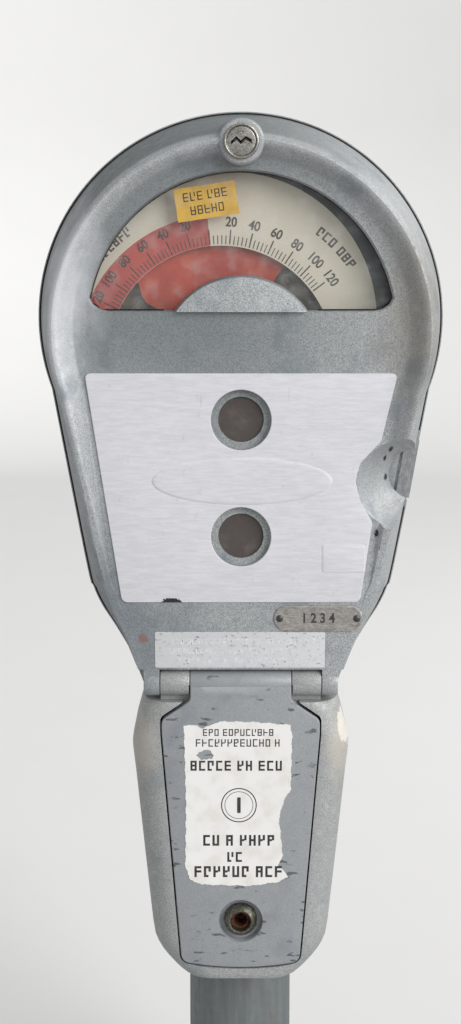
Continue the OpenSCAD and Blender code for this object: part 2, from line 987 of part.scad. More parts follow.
module movement_screws() {
    y = plate_y + plate_t + plates_gap;
    color("dimgray")
        for (p = standoff_places()) {
            ycyl(p[0], p[1], y - 2.5, 2.5, 3.6);
            ycyl(p[0], p[1], y - 0.1, back_y - head_wall - 5 - y, 1.9);
        }
}

module mainspring_barrel() {
    y = plate_y + plate_t + 6;
    color("goldenrod") {
        gear(barrel_teeth, centre_dir, barrel_at, y, 3, 4);
        difference() {
            ycyl(barrel_at[0], barrel_at[1], y + 3, 15, barrel_pr - 3);
            ycyl(barrel_at[0], barrel_at[1], y + 4.5, 12, barrel_pr - 4.5);
            ycyl(barrel_at[0], barrel_at[1], y, 20, 4);
        }
    }
}

module winding_arbor() {
    color("gray") {
        difference() {
            ycyl(barrel_at[0], barrel_at[1], plate_y - 1, plates_gap + 2 * plate_t + 2, 4 - fit);
            ycyl(barrel_at[0], barrel_at[1], plate_y + plates_gap + plate_t + 1, 10, 1.5, 1.5);
        }
        translate([barrel_at[0], plate_y - 9, barrel_at[1]])
            rotate([-90, 0, 0])
                cylinder(h = 8, r = 3.6, $fn = 4);
    }
}

module centre_wheel() {
    y = plate_y + plate_t + 1.5;
    turn = centre_dir + 180 + 180 / pinion_teeth;
    color("gold") {
        difference() {
            gear(centre_teeth, escape_dir, centre_at, y, 2, arbor_r - fit);
            for (a = [0:90:270])
                ycyl(centre_at[0] + 12 * cos(a), centre_at[1] + 12 * sin(a), y - 1, 4, 5);
        }
        gear(pinion_teeth, turn, centre_at, y + 2, 6, arbor_r - fit);
        arbor(centre_at);
    }
}

module escape_wheel() {
    y = plate_y + plate_t + 12;
    turn = escape_dir + 180 + 180 / pinion_teeth;
    step = 360 / escape_teeth;
    color("gold") {
        slab(y, 1.2)
            translate(escape_at)
                difference() {
                    polygon([for (i = [0:escape_teeth - 1], k = [0:2])
                        let (a = pallet_dir - 3 + step * (i + 0.5) + [0, 2, 8][k],
                            r = [escape_r - 3, escape_r, escape_r - 3][k])
                            [r * cos(a), r * sin(a)]]);
                    circle(r = arbor_r - fit);
                }
        gear(pinion_teeth, turn, escape_at, plate_y + plate_t + 1, 4, arbor_r - fit);
        arbor(escape_at);
    }
}

module pallet_lever() {
    y = plate_y + plate_t + 12;
    reach = 7;
    color("silver") {
        slab(y + 2, 1.2)
            translate(pallet_at)
                rotate(pallet_dir - 90)
                    difference() {
                        union() {
                            circle(r = 3.5);
                            translate([-reach, -8])
                                square([2 * reach, 2]);
                            translate([-1, -8])
                                square([2, 8]);
                            translate([-1.2, 0])
                                square([2.4, 9]);
                        }
                        circle(r = arbor_r - fit);
                    }
        for (s = [-1, 1])
            translate([pallet_at[0], 0, pallet_at[1]])
                rotate([0, 90 - pallet_dir, 0])
                    ycyl(s * (reach - 0.8), -7, y - 0.6, 2.7, 0.6);
        arbor(pallet_at);
    }
}

module balance_wheel() {
    y = plate_y + plate_t + 20;
    color("goldenrod") {
        slab(y, 2)
            translate(balance_at) {
                difference() {
                    circle(r = 12);
                    circle(r = 10);
                }
                difference() {
                    union() {
                        square([21, 2.4], center = true);
                        circle(r = 3);
                    }
                    circle(r = arbor_r - fit);
                }
            }
        arbor(balance_at);
    }
}

// flat strip wound from r0 out to r1
module spiral(at, y, h, r0, r1, turns, strip) {
    steps = 24 * turns;
    function at_step(i, out) = let (a = 15 * i, r = r0 + out + (r1 - r0) * i / steps)
        [r * cos(a), r * sin(a)];
    slab(y, h)
        translate(at)
            polygon(concat([for (i = [0:steps]) at_step(i, 0)],
                [for (i = [steps:-1:0]) at_step(i, strip)]));
}

module hairspring() {
    color("steelblue")
        spiral(balance_at, plate_y + plate_t + 24, 1.2, arbor_r, 8.5, 4, 0.4);
}

module mainspring() {
    color("steelblue")
        spiral(barrel_at, plate_y + plate_t + 11, 10, 4.2, barrel_pr - 5.8, 5, 1);
}

// ---------- coin path ----------

module coin_wheel() {
    color("darkgray") {
        difference() {
            ycyl(0, coin_z, coin_y - 1.5, 3, coin_orbit + 15);
            for (a = [0:90:270])
                ycyl(coin_orbit * cos(a), coin_z + coin_orbit * sin(a), coin_y - 3, 6, 12.8);
            ycyl(0, coin_z, coin_y - 3, 6, arbor_r - fit);
        }
        ycyl(0, coin_z, coin_y - 3, plate_y + plates_gap + 2 * plate_t - coin_y + 3 - fit,
            arbor_r - fit);
    }
}

module coin_wheel_guard() {
    y = coin_y - 4.2;
    foot_at = coin_orbit + 16.5;
    color("silver") {
        difference() {
            ycyl(0, coin_z, y, 1.5, coin_orbit + 18);
            for (s = [-1, 1])
                ycyl(0, coin_z + s * coin_orbit, y - 1, 4, coin_glass_r);
            ycyl(0, coin_z, y - 1, 4, arbor_r + 0.5);
        }
        for (a = [45:90:315])
            ycyl(foot_at * cos(a), coin_z + foot_at * sin(a), y + 1.5, plate_y - y - 1.5, 1.4);
    }
}

module sight_tubes() {
    y0 = inner_y + 5;
    color("gray")
        for (s = [-1, 1])
            difference() {
                ycyl(0, coin_z + s * coin_orbit, y0, coin_y - 4.2 - y0, coin_glass_r + 1.5);
                ycyl(0, coin_z + s * coin_orbit, y0 - 1, 60, coin_glass_r);
            }
}

// flat duct from the slot plate to the coin wheel
module coin_runway() {
    x0 = coin_orbit + 15.5;
    x1 = coin_edge_x - 9.3;
    color("silver")
        difference() {
            box([x0, coin_y - 2.6, coin_z - 14.5], [x1, coin_y + 2.6, coin_z + 14.5]);
            box([x0 - 1, coin_y - 1.6, coin_z - 13.3], [x1 + 1, coin_y + 1.6, coin_z + 13.3]);
        }
}

// cranked duct from under the coin wheel down through the head's floor
module coin_chute() {
    top = coin_z - coin_orbit - 19;
    y0 = seam_y + seam_gap + 0.2;
    function side(g) = [[y0 + g, top + g], [y0 + g, top - 24], [chute_y + g, top - 42],
        [chute_y + g, neck_z - 14 - g], [chute_y + 8.6 - g, neck_z - 14 - g],
        [chute_y + 8.6 - g, top - 40], [y0 + 8.6 - g, top - 22], [y0 + 8.6 - g, top + g]];
    color("silver")
        difference() {
            rotate([90, 0, 90])
                linear_extrude(height = 33, center = true)
                    polygon(side(0));
            rotate([90, 0, 90])
                linear_extrude(height = 30, center = true)
                    polygon(side(1.3));
        }
}

post_tube();
lower_housing();
post_set_screws();
hinge_pin();
vault_door();
vault_sticker();
vault_lock_body();
vault_lock_plug();
vault_lock_cam();
coin_box();
coin_box_lid();
rear_housing();
housing_screws();
cover_seal();
coin_slot_plate();
front_cover();
window_lens();
lens_gasket();
lens_strips();
lens_screws();
hours_sticker();
face_plate();
coin_glasses();
coin_glass_rings();
number_tag();
tag_rivets();
instruction_label();
head_lock_body();
head_lock_nut();
head_lock_plug();
head_lock_cam();
dial_plate();
dial_backing();
time_pointer();
red_flag();
front_movement_plate();
rear_movement_plate();
movement_pillars();
dial_pillars();
movement_standoffs();
movement_screws();
mainspring_barrel();
mainspring();
winding_arbor();
centre_wheel();
escape_wheel();
pallet_lever();
balance_wheel();
hairspring();
coin_wheel();
coin_wheel_guard();
sight_tubes();
coin_runway();
coin_chute();
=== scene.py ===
"""Looks of the parking meter: cast housings, dial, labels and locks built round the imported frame."""
import json
import math

import bmesh
import bpy
from mathutils import Matrix, Vector


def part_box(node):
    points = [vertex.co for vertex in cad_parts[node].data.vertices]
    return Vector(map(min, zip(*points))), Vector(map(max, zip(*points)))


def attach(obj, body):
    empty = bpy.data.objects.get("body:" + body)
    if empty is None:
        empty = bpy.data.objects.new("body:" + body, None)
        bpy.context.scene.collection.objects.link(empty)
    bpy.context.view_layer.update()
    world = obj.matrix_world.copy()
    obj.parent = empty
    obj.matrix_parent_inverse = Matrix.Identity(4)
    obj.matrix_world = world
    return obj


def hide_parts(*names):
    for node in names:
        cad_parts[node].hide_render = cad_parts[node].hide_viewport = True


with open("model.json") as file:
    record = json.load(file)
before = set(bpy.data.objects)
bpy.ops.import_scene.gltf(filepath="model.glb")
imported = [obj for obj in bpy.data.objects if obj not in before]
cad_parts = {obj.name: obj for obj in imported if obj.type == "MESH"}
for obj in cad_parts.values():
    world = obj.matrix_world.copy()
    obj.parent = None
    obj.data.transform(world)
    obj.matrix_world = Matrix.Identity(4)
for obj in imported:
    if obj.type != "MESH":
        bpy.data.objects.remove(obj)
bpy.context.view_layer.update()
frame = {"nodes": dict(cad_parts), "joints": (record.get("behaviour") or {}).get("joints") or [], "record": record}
MM = 0.001
PRINT = 0.05  # thickness of printed marks
BOX_FACES = ((0, 1, 2, 3), (7, 6, 5, 4), (0, 4, 5, 1), (1, 5, 6, 2), (2, 6, 7, 3), (3, 7, 4, 0))

# ---------------------------------------------------------------- places taken from the frame


def corner(node, side, axis):
    """One face of a node's box in millimetres: side 0 is low and 1 high, axis 0 to 2."""
    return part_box(node)[side][axis] / MM


JOINTS = {joint["name"]: joint for joint in frame["joints"]}


def pivot(name):
    return [value / MM for value in JOINTS[name]["pos_m"]]


HINGE_Y, HINGE_Z = pivot("cover_hinge")[1:]
DIAL_X, _, DIAL_Z = pivot("pointer_swing")
COIN_Z = pivot("coin_wheel_turn")[2]
LOCK_Z = pivot("head_lock_turn")[2]
VAULT_LOCK_Z = pivot("vault_lock_turn")[2]
SEAM_Y = corner("front_cover", 1, 1)
REAR_Y = corner("cover_seal", 1, 1)
BACK_Y = corner("rear_housing", 1, 1)
TOP_Z = corner("rear_housing", 1, 2)
NECK_Z = corner("rear_housing", 0, 2)
HEAD_R = corner("rear_housing", 1, 0)
VAULT_Z = corner("lower_housing", 0, 2)
FLOOR_Y = corner("face_plate", 1, 1)
DIAL_Y = corner("dial_plate", 0, 1)
GLASS_Y = corner("window_lens", 1, 1)
VAULT_Y = corner("vault_door", 0, 1)
RIDGE_Y = FLOOR_Y - 8
INNER_Y = corner("window_lens", 0, 1)
HEAD_Z = TOP_Z - HEAD_R
COVER_Z = HINGE_Z + 8.3
WINDOW_R, WINDOW_Z, SILL_Z = 82.7, NECK_Z + 206.3, NECK_Z + 215.7
BOSS_R, BOSS_Z = 43.3, NECK_Z + 191.2
SCALE_R, SCALE_Z = 61.8, DIAL_Z + 6.3
ORBIT, HOLE_R, SIGHT_R = 32, 16.3, 12.4
BARREL, LUG_X, EAR_X, EAR_END = 28, 28.4, 45, 53.8
KNUCKLE_R = 7.5

# ---------------------------------------------------------------- mesh helpers, in millimetres


def smooth_by_angle(mesh, degrees=32):
    for polygon in mesh.polygons:
        polygon.use_smooth = True
    mesh.set_sharp_from_angle(angle=math.radians(degrees))


def placed(name, data):
    """A new object in the scene that shows the data."""
    piece = bpy.data.objects.new(name, data)
    bpy.context.collection.objects.link(piece)
    return piece


def make(name, points, faces):
    """A mesh object from points in millimetres, with its normals pointing out."""
    mesh = bpy.data.meshes.new(name)
    mesh.from_pydata([Vector(p) * MM for p in points], [], faces)
    shape = bmesh.new()
    shape.from_mesh(mesh)
    bmesh.ops.remove_doubles(shape, verts=shape.verts, dist=1e-6)
    bmesh.ops.recalc_face_normals(shape, faces=shape.faces)
    shape.to_mesh(mesh)
    shape.free()
    smooth_by_angle(mesh)
    return placed(name, mesh)


def loft(name, rings, closed_ends=True):
    """A skin through rings of equally many points; both ends are closed by flat faces."""
    count = len(rings[0])
    points = [p for ring in rings for p in ring]
    faces = []
    for k in range(len(rings) - 1):
        for i in range(count):
            j = (i + 1) % count
            faces.append((k * count + i, k * count + j, (k + 1) * count + j, (k + 1) * count + i))
    if closed_ends:
        faces.append(tuple(range(count)))
        faces.append(tuple(range(len(points) - count, len(points))))
    return make(name, points, faces)


def across(outline, y):
    """An x, z outline stood up at depth y; y may be a function of z."""
    return [(x, y(z) if callable(y) else y, z) for x, z in outline]


def prism(name, outline, y0, y1, bevel=0.0):
    """An x, z outline raised along +Y, its front edge rounded by bevel."""
    if not bevel:
        return loft(name, [across(outline, y0), across(outline, y1)])
    steps = [(bevel * (1 - math.sin(a)), bevel * (1 - math.cos(a)))
             for a in (math.radians(d) for d in (0, 30, 60, 90))]
    rings = [across(inset(outline, out), y0 + down) for out, down in steps]
    return loft(name, rings + [across(outline, y1)])


def inset(outline, distance):
    """The outline moved inwards by distance along each corner's own normal."""
    area = sum(a[0] * b[1] - b[0] * a[1] for a, b in zip(outline, outline[1:] + outline[:1]))
    turn = 1 if area > 0 else -1
    moved = []
    for i, here in enumerate(outline):
        before, after = Vector(outline[i - 1]), Vector(outline[(i + 1) % len(outline)])
        here = Vector(here)
        first, second = (here - before).normalized(), (after - here).normalized()
        normal = Vector((-first.y - second.y, first.x + second.x))
        size = normal.length
        if size < 1e-6:
            moved.append(tuple(here))
            continue
        moved.append(tuple(here + normal / size * distance * turn * min(2 / size, 1.6)))
    return moved


def arc(centre, r, start, end, steps=12):
    """Points on an arc, in degrees from +X towards +Z."""
    return [(centre[0] + r * math.cos(math.radians(start + (end - start) * i / steps)),
             centre[1] + r * math.sin(math.radians(start + (end - start) * i / steps)))
            for i in range(steps + 1)]


def rounded(points, radii, steps=6):
    """A polygon with its corners rounded by the radii, one for each point."""
    out = []
    for i, here in enumerate(points):
        here, r = Vector(here), radii[i]
        before, after = Vector(points[i - 1]), Vector(points[(i + 1) % len(points)])
        if r == 0:
            out.append(tuple(here))
            continue
        a, b = (before - here).normalized(), (after - here).normalized()
        half = a.angle(b) / 2
        reach = min(r / math.tan(half), (before - here).length / 2, (after - here).length / 2)
        start, end = here + a * reach, here + b * reach
        for k in range(steps + 1):
            t = k / steps
            out.append(tuple(start * (1 - t) ** 2 + here * 2 * t * (1 - t) + end * t * t))
    return out


def spline(points, steps):
    """A smooth curve through the points, ends included."""
    out = []
    padded = [points[0]] + list(points) + [points[-1]]
    for i in range(1, len(padded) - 2):
        p0, p1, p2, p3 = [Vector(p) for p in padded[i - 1:i + 3]]
        for k in range(steps):
            t = k / steps
            out.append(tuple(0.5 * (2 * p1 + (p2 - p0) * t + (2 * p0 - 5 * p1 + 4 * p2 - p3) * t * t
                                    + (3 * p1 - p0 - 3 * p2 + p3) * t ** 3)))
    return out + [tuple(points[-1])]


def turned(name, profile, x, z, y0, steps=64):
    """A body of revolution about a line along +Y; the profile is a list of (depth, radius).
    A profile that ends where it starts makes a ring, any other a solid with flat ends."""
    rings = [across(arc((x, z), max(r, 0.01), 0, 360 - 360 / steps, steps - 1), y0 + depth)
             for depth, r in profile]
    return loft(name, rings, profile[0] != profile[-1])


def coin_pair(name, profile, y0):
    """The same turned body at each of the two coin windows."""
    return [turned(name, profile, 0, COIN_Z + side * ORBIT, y0) for side in (1, -1)]


def span(side, near, far):
    """The two x values, low one first, of a stretch on the right (1) or the left (-1)."""
    return sorted((side * near, side * far))


def hinge_bar(name, x0, x1, r, edge=0.5):
    """A round bar on the hinge line with its two ends rounded."""
    steps, rings = 48, []
    for x, radius in ((x0, r - edge), (x0 + 0.3 * edge, r - 0.3 * edge), (x0 + edge, r),
                      (x1 - edge, r), (x1 - 0.3 * edge, r - 0.3 * edge), (x1, r - edge)):
        rings.append([(x, HINGE_Y + b, HINGE_Z + c)
                      for b, c in arc((0, 0), radius, 0, 360 - 360 / steps, steps - 1)])
    return loft(name, rings)


def block(name, low, high):
    (x0, y0, z0), (x1, y1, z1) = low, high
    rings = [[(x0, y, z0), (x1, y, z0), (x1, y, z1), (x0, y, z1)] for y in (y0, y1)]
    return loft(name, rings)


def add_plate(points, faces, outline, y0, y1):
    """Adds a four-cornered plate from y0 to y1 to the lists of points and faces."""
    start = len(points)
    points.extend((x, y, z) for y in (y0, y1) for x, z in outline)
    faces.extend(tuple(start + k for k in quad) for quad in BOX_FACES)


def bake(piece):
    """Applies the piece's modifiers."""
    bpy.context.view_layer.update()
    graph = bpy.context.evaluated_depsgraph_get()
    mesh = bpy.data.meshes.new_from_object(piece.evaluated_get(graph))
    piece.modifiers.clear()
    piece.data = mesh


def combine(piece, tools, operation):
    """Joins the tools to the piece, or cuts them out of it, and deletes them."""
    for tool in tools:
        step = piece.modifiers.new("step", "BOOLEAN")
        step.operation = operation
        step.solver = "EXACT"
        step.object = tool
    bake(piece)
    for tool in tools:
        bpy.data.objects.remove(tool)
    smooth_by_angle(piece.data)
    return piece


def add(piece, *tools):
    return combine(piece, tools, "UNION")


def cut(piece, *tools):
    return combine(piece, tools, "DIFFERENCE")


def mirrored(function):
    """Both the right-hand shape and its left-hand twin; function takes the side, 1 or -1."""
    return [function(1), function(-1)]


def finish(piece, body, slot, material, *nodes):
    """Gives a piece its material and the body it rides on, and hides the CAD nodes it stands for."""
    piece.data.materials.clear()
    piece.data.materials.append(material)
    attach(piece, body)
    if nodes:
        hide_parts(*nodes)
    return piece


# ---------------------------------------------------------------- materials


def srgb(*values):
    """A colour given as 0 to 255 screen values, as linear light."""
    linear = [(v / 255 / 12.92) if v < 11 else ((v / 255 + 0.055) / 1.055) ** 2.4 for v in values]
    return (*linear, 1.0)


class Finish:
    """A node material being put together. Each method adds a node and returns its output."""

    def __init__(self, name, roughness=0.5, metallic=0.0):
        self.material = bpy.data.materials.new(name)
        self.material.use_nodes = True
        self.tree = self.material.node_tree
        self.shader = self.tree.nodes["Principled BSDF"]
        self.shader.inputs["Metallic"].default_value = metallic
        self.shader.inputs["Roughness"].default_value = roughness
        self.place = self.tree.nodes.new("ShaderNodeTexCoord").outputs["Object"]

    def node(self, kind, values, **settings):
        made = self.tree.nodes.new("ShaderNode" + kind)
        for key, value in settings.items():
            setattr(made, key, value)
        for key, value in values.items():
            self.plug(made.inputs[key], value)
        return made

    def plug(self, socket, value):
        if isinstance(value, bpy.types.NodeSocket):
            self.tree.links.new(value, socket)
        else:
            socket.default_value = value

    def noise(self, size, detail=3.0, stretch=(1, 1, 1), shift=0.0, roughness=0.55):
        """Cloudy noise whose patches are about size millimetres across."""
        place = self.node("Mapping", {"Vector": self.place, "Location": (shift, shift, shift),
                                      "Scale": stretch})
        made = self.node("TexNoise", {"Vector": place.outputs[0], "Scale": 1 / (size * MM),
                                      "Detail": detail, "Roughness": roughness})
        return made.outputs["Fac"]

    def scratches(self, size, shift=0.0, turn=0.5, length=14):
        """Thin streaks: stretched noise near its middle value."""
        place = self.node("Mapping", {"Vector": self.place, "Location": (shift, 0, shift),
                                      "Rotation": (0, turn, 0), "Scale": (1 / length, 1, 1)})
        made = self.node("TexNoise", {"Vector": place.outputs[0], "Scale": 1 / (size * MM),
                                      "Detail": 2.0, "Roughness": 0.6})
        return self.band(made.outputs["Fac"], 0.70, 0.78)

    def band(self, value, low, high, a=0.0, b=1.0):
        """value turned from a below low to b above high."""
        made = self.node("MapRange", {"Value": value, "From Min": low, "From Max": high,
                                      "To Min": a, "To Max": b}, interpolation_type="SMOOTHSTEP")
        return made.outputs[0]

    def sums(self, operation, a, b):
        made = self.node("Math", {}, operation=operation, use_clamp=operation != "SUBTRACT")
        self.plug(made.inputs[0], a)
        self.plug(made.inputs[1], b)
        return made.outputs[0]

    def mix(self, amount, a, b, blend="MIX"):
        made = self.node("Mix", {}, data_type="RGBA", blend_type=blend)
        self.plug(made.inputs[0], amount)
        self.plug(made.inputs[6], a)
        self.plug(made.inputs[7], b)
        return made.outputs[2]

    def stain(self, colour, mask, share, paint):
        """The colour with paint laid over it by a share of the mask."""
        return self.mix(self.sums("MULTIPLY", mask, share), colour, paint)

    def spot(self, centre, radius, soft=0.4, stretch=(1, 1, 1)):
        """1 inside a ragged blob at a place in millimetres, 0 outside."""
        offset = self.node("VectorMath", {0: self.place, 1: [c * MM for c in centre]},
                           operation="SUBTRACT")
        scaled = self.node("VectorMath", {0: offset.outputs[0], 1: stretch}, operation="MULTIPLY")
        length = self.node("VectorMath", {0: scaled.outputs[0]}, operation="LENGTH")
        rough = self.sums("MULTIPLY", self.noise(radius * 0.5, 4.0), radius * MM * 1.2)
        size = self.sums("ADD", length.outputs["Value"], rough)
        return self.band(size, radius * MM * (1 - soft) + radius * MM * 0.6, radius * MM * 1.6, 1, 0)

    def edges(self, low=0.56, high=0.66):
        """1 on sharp outer edges."""
        return self.band(self.node("NewGeometry", {}).outputs["Pointiness"], low, high)

    def bump(self, *layers):
        """Stacks (value, strength, depth in millimetres) layers of relief."""
        normal = None
        for value, strength, depth in layers:
            made = self.node("Bump", {"Height": value, "Strength": strength,
                                      "Distance": depth * MM})
            if normal:
                self.plug(made.inputs["Normal"], normal)
            normal = made.outputs[0]
        self.plug(self.shader.inputs["Normal"], normal)

    def done(self, colour, roughness=None):
        self.plug(self.shader.inputs["Base Color"], colour)
        if roughness is not None:
            self.plug(self.shader.inputs["Roughness"], roughness)
        return self.material


def casting(name, light, dark, blue, worn, blue_low=0.5, extra=None):
    """Old grey paint on a rough casting: speckle, cloudy patches, worn edges and small pits."""
    f = Finish(name, metallic=0.25)
    speckle = f.band(f.noise(0.55, 4.0, roughness=0.75), 0.34, 0.66)
    cloud = f.noise(26, 4.0, shift=2.0)
    colour = f.mix(speckle, dark, light)
    colour = f.mix(f.band(cloud, blue_low, blue_low + 0.22, 0, 0.75), colour, blue)
    colour = f.mix(f.band(f.noise(7, 5.0, shift=5.0), 0.55, 0.72, 0, 0.35), colour, light)
    colour = f.stain(colour, f.edges(), f.band(f.noise(9, 4.0), 0.35, 0.6, 0.15, 0.85), worn)
    pits = f.band(f.noise(1.6, 3.0, shift=9.0), 0.70, 0.74)
    colour = f.stain(colour, pits, 0.65, srgb(60, 58, 55))
    if extra:
        colour = extra(f, colour)
    f.bump((f.noise(1.1, 5.0, roughness=0.7), 0.30, 0.35), (f.noise(9, 2.0), 0.12, 0.8))
    return f.done(colour, f.band(f.noise(4, 4.0), 0.3, 0.7, 0.42, 0.66))


def cover_wear(f, colour):
    """Bluish band low on the left, painted shade on the upper-left outer bevel, a painted highlight on the inner
    left slope, brown painted shade on the right slope, chips beside the coin scoop.
    """
    for x, z, size in ((83, 139, 1.5), (80.5, 133, 1.3), (82, 121, 1.7), (74, 95, 1.8)):
        chip = f.spot((x, SEAM_Y - 24, NECK_Z + z), size, 0.3, (1, 0.05, 0.6))
        colour = f.mix(chip, colour, srgb(44, 42, 44))
    sides = f.node("SeparateXYZ", {"Vector": f.place}).outputs
    # painted shade: the outer bevel is darkened on the left, more so towards the top, where it faces away from the
    # light
    bevel = f.sums("MULTIPLY", f.band(sides["Y"], (RIDGE_Y + 4) * MM, (RIDGE_Y + 9) * MM),
                   f.band(sides["X"], -0.02, 0.09, 0.75, 0.1))
    high = f.band(sides["Z"], (NECK_Z + 120) * MM, (NECK_Z + 210) * MM, 0.3, 1)
    colour = f.stain(colour, bevel, high, srgb(104, 112, 114))
    # painted highlight: a near-white patch on the inner left slope of the ridge, which faces the light
    lit_slope = f.spot((-96, RIDGE_Y + 2, WINDOW_Z + 30), 44, 0.9, (1.5, 0.6, 0.5))
    colour = f.stain(colour, lit_slope, 0.6, srgb(232, 233, 238))
    left = f.spot((-62, RIDGE_Y, NECK_Z + 55), 46, 0.9, (1, 0.4, 0.5))
    colour = f.stain(colour, left, 0.55, srgb(98, 108, 118))
    # painted shade: a brown-grey patch on the inner right slope of the ridge, which faces away from the light
    right = f.spot((94, RIDGE_Y, WINDOW_Z + 6), 34, 0.9, (1, 0.4, 0.5))
    colour = f.stain(colour, right, 0.45, srgb(142, 130, 114))
    rust = f.spot((-54, FLOOR_Y, NECK_Z + 36), 3.5, 0.6)
    return f.stain(colour, rust, 0.6, srgb(150, 92, 70))


def vault_wear(f, colour):
    """Beige rub marks on the front corners and a bare cream chip on the right shoulder."""
    for x in (-56, 57):
        rub = f.spot((x, VAULT_Y + 8, NECK_Z - 24), 20, 0.8, (1.4, 0.6, 0.7))
        colour = f.stain(colour, rub, 0.5, srgb(214, 204, 190))
    chip = f.spot((58, VAULT_Y + 12, NECK_Z - 15), 7, 0.2, (1.2, 0.6, 0.62))
    return f.mix(chip, colour, srgb(238, 233, 222))


def door_wear(f, colour):
    """Short dark scuffs on the vault door, and painted shade in the lock's recess."""
    deep = f.node("SeparateXYZ", {"Vector": f.place}).outputs["Y"]
    # painted shade: the deep part of the lock's recess is darkened almost to black
    recess_shade = f.sums("MULTIPLY", f.band(deep, (VAULT_Y + 0.9) * MM, (VAULT_Y + 1.8) * MM),
                  f.spot((0, VAULT_Y + 3, VAULT_LOCK_Z), 9.5, 0.3))
    colour = f.stain(colour, recess_shade, 0.92, srgb(30, 34, 40))
    place = f.node("Mapping", {"Vector": f.place, "Rotation": (0, 0.7, 0), "Scale": (0.35, 1, 1)})
    marks = f.node("TexNoise", {"Vector": place.outputs[0], "Scale": 330.0, "Detail": 3.0})
    scuffs = f.sums("MULTIPLY", f.band(marks.outputs["Fac"], 0.62, 0.66), f.band(f.noise(22), 0.42, 0.55))
    colour = f.stain(colour, scuffs, 0.8, srgb(84, 88, 92))
    return f.stain(colour, f.scratches(0.8, 8.0, -0.4, 10), 0.5, srgb(182, 186, 190))


COVER_GREY = casting("cover_grey", srgb(214, 216, 217), srgb(138, 143, 144), srgb(138, 148, 155),
                     srgb(214, 212, 206), 0.5, cover_wear)
HOUSING_GREY = casting("housing_grey", srgb(200, 202, 200), srgb(142, 145, 145),
                       srgb(142, 149, 154), srgb(214, 207, 194), 0.52, vault_wear)
REAR_GREY = casting("rear_grey", srgb(198, 200, 199), srgb(140, 143, 143), srgb(138, 145, 151),
                    srgb(206, 203, 196), 0.5)
DOOR_GREY = casting("door_grey", srgb(176, 179, 182), srgb(156, 160, 163), srgb(146, 152, 158),
                    srgb(196, 198, 200), 0.5, door_wear)


def plate_paint():
    """White paint brushed over an old plate: fine brush marks, thin cracks, grey scuffs."""
    f = Finish("plate_white", 0.55)
    brush = f.noise(1.4, 4.0, (0.14, 1, 1), 3.0, 0.7)
    cracks = f.band(f.noise(5, 6.0, (1, 1, 0.35), 1.0, 0.8), 0.62, 0.68)
    colour = f.mix(f.band(brush, 0.3, 0.7), srgb(220, 220, 224), srgb(233, 232, 236))
    colour = f.stain(colour, cracks, 0.35, srgb(176, 176, 182))
    bare = f.band(f.noise(2.2, 5.0, shift=4.0), 0.73, 0.76)
    colour = f.stain(colour, bare, 0.7, srgb(120, 118, 118))
    colour = f.stain(colour, f.edges(0.53, 0.6), 0.8, srgb(246, 246, 248))
    chip = f.spot((-38, FLOOR_Y, NECK_Z + 57), 3.2, 0.2, (0.5, 1, 1.4))
    colour = f.mix(chip, colour, srgb(46, 44, 44))
    f.bump((brush, 0.25, 0.25), (cracks, 0.2, 0.2), (f.noise(14, 3.0), 0.15, 0.6))
    return f.done(colour, f.band(f.noise(6), 0.3, 0.7, 0.45, 0.62))


def metal(name, light, dark, roughness=0.38, stretch=(1, 1, 1), grain=0.6, metallic=0.9):
    """Bare metal with a fine grain, dull patches and faint scratches."""
    f = Finish(name, metallic=metallic)
    fine = f.noise(grain, 4.0, stretch, roughness=0.7)
    colour = f.mix(f.band(fine, 0.3, 0.7), dark, light)
    colour = f.mix(f.band(f.noise(6, 4.0, shift=2.0), 0.5, 0.75, 0, 0.5), colour, dark)
    f.bump((fine, 0.15, 0.1), (f.scratches(0.7), 0.1, 0.05))
    return f.done(colour, f.band(f.noise(3, 4.0), 0.3, 0.7, roughness - 0.08, roughness + 0.16))


def coating(name, light, dark, roughness=0.5, size=5.0, relief=0.1):
    """Plain paint, print or plastic with slight dirt and an uneven surface."""
    f = Finish(name)
    colour = f.mix(f.band(f.noise(size, 5.0), 0.35, 0.68), dark, light)
    colour = f.mix(f.band(f.noise(0.8, 3.0, shift=6.0), 0.68, 0.75, 0, 0.5), colour, dark)
    f.bump((f.noise(0.8, 3.0), relief, 0.1))
    return f.done(colour, f.band(f.noise(3), 0.3, 0.7, roughness - 0.08, roughness + 0.1))


def post_metal():
    """Galvanised tube with long dull streaks down it."""
    f = Finish("post_zinc", metallic=0.55)
    streak = f.noise(5.0, 5.0, (1, 1, 0.1), 3.0, 0.6)
    colour = f.mix(f.band(streak, 0.3, 0.7), srgb(120, 126, 127), srgb(136, 141, 142))
    colour = f.mix(f.band(f.noise(12, 4.0, (1, 1, 0.3)), 0.5, 0.75, 0, 0.6), colour,
                   srgb(124, 122, 114))
    colour = f.mix(f.band(f.noise(0.8, 4.0), 0.66, 0.72, 0, 0.6), colour, srgb(78, 76, 70))
    f.bump((streak, 0.1, 0.2), (f.noise(0.8, 3.0), 0.2, 0.1))
    return f.done(colour, f.band(f.noise(4), 0.3, 0.7, 0.42, 0.62))


def dial_cream():
    """Cream dial, yellowed and spotted."""
    f = Finish("dial_cream", 0.5)
    colour = f.mix(f.noise(18, 4.0), srgb(216, 207, 186), srgb(232, 225, 208))
    spots = f.band(f.noise(1.2, 2.0, shift=2.0), 0.74, 0.78)
    colour = f.stain(colour, spots, 0.5, srgb(150, 132, 104))
    f.bump((f.noise(0.9, 3.0), 0.06, 0.1))
    return f.done(colour)


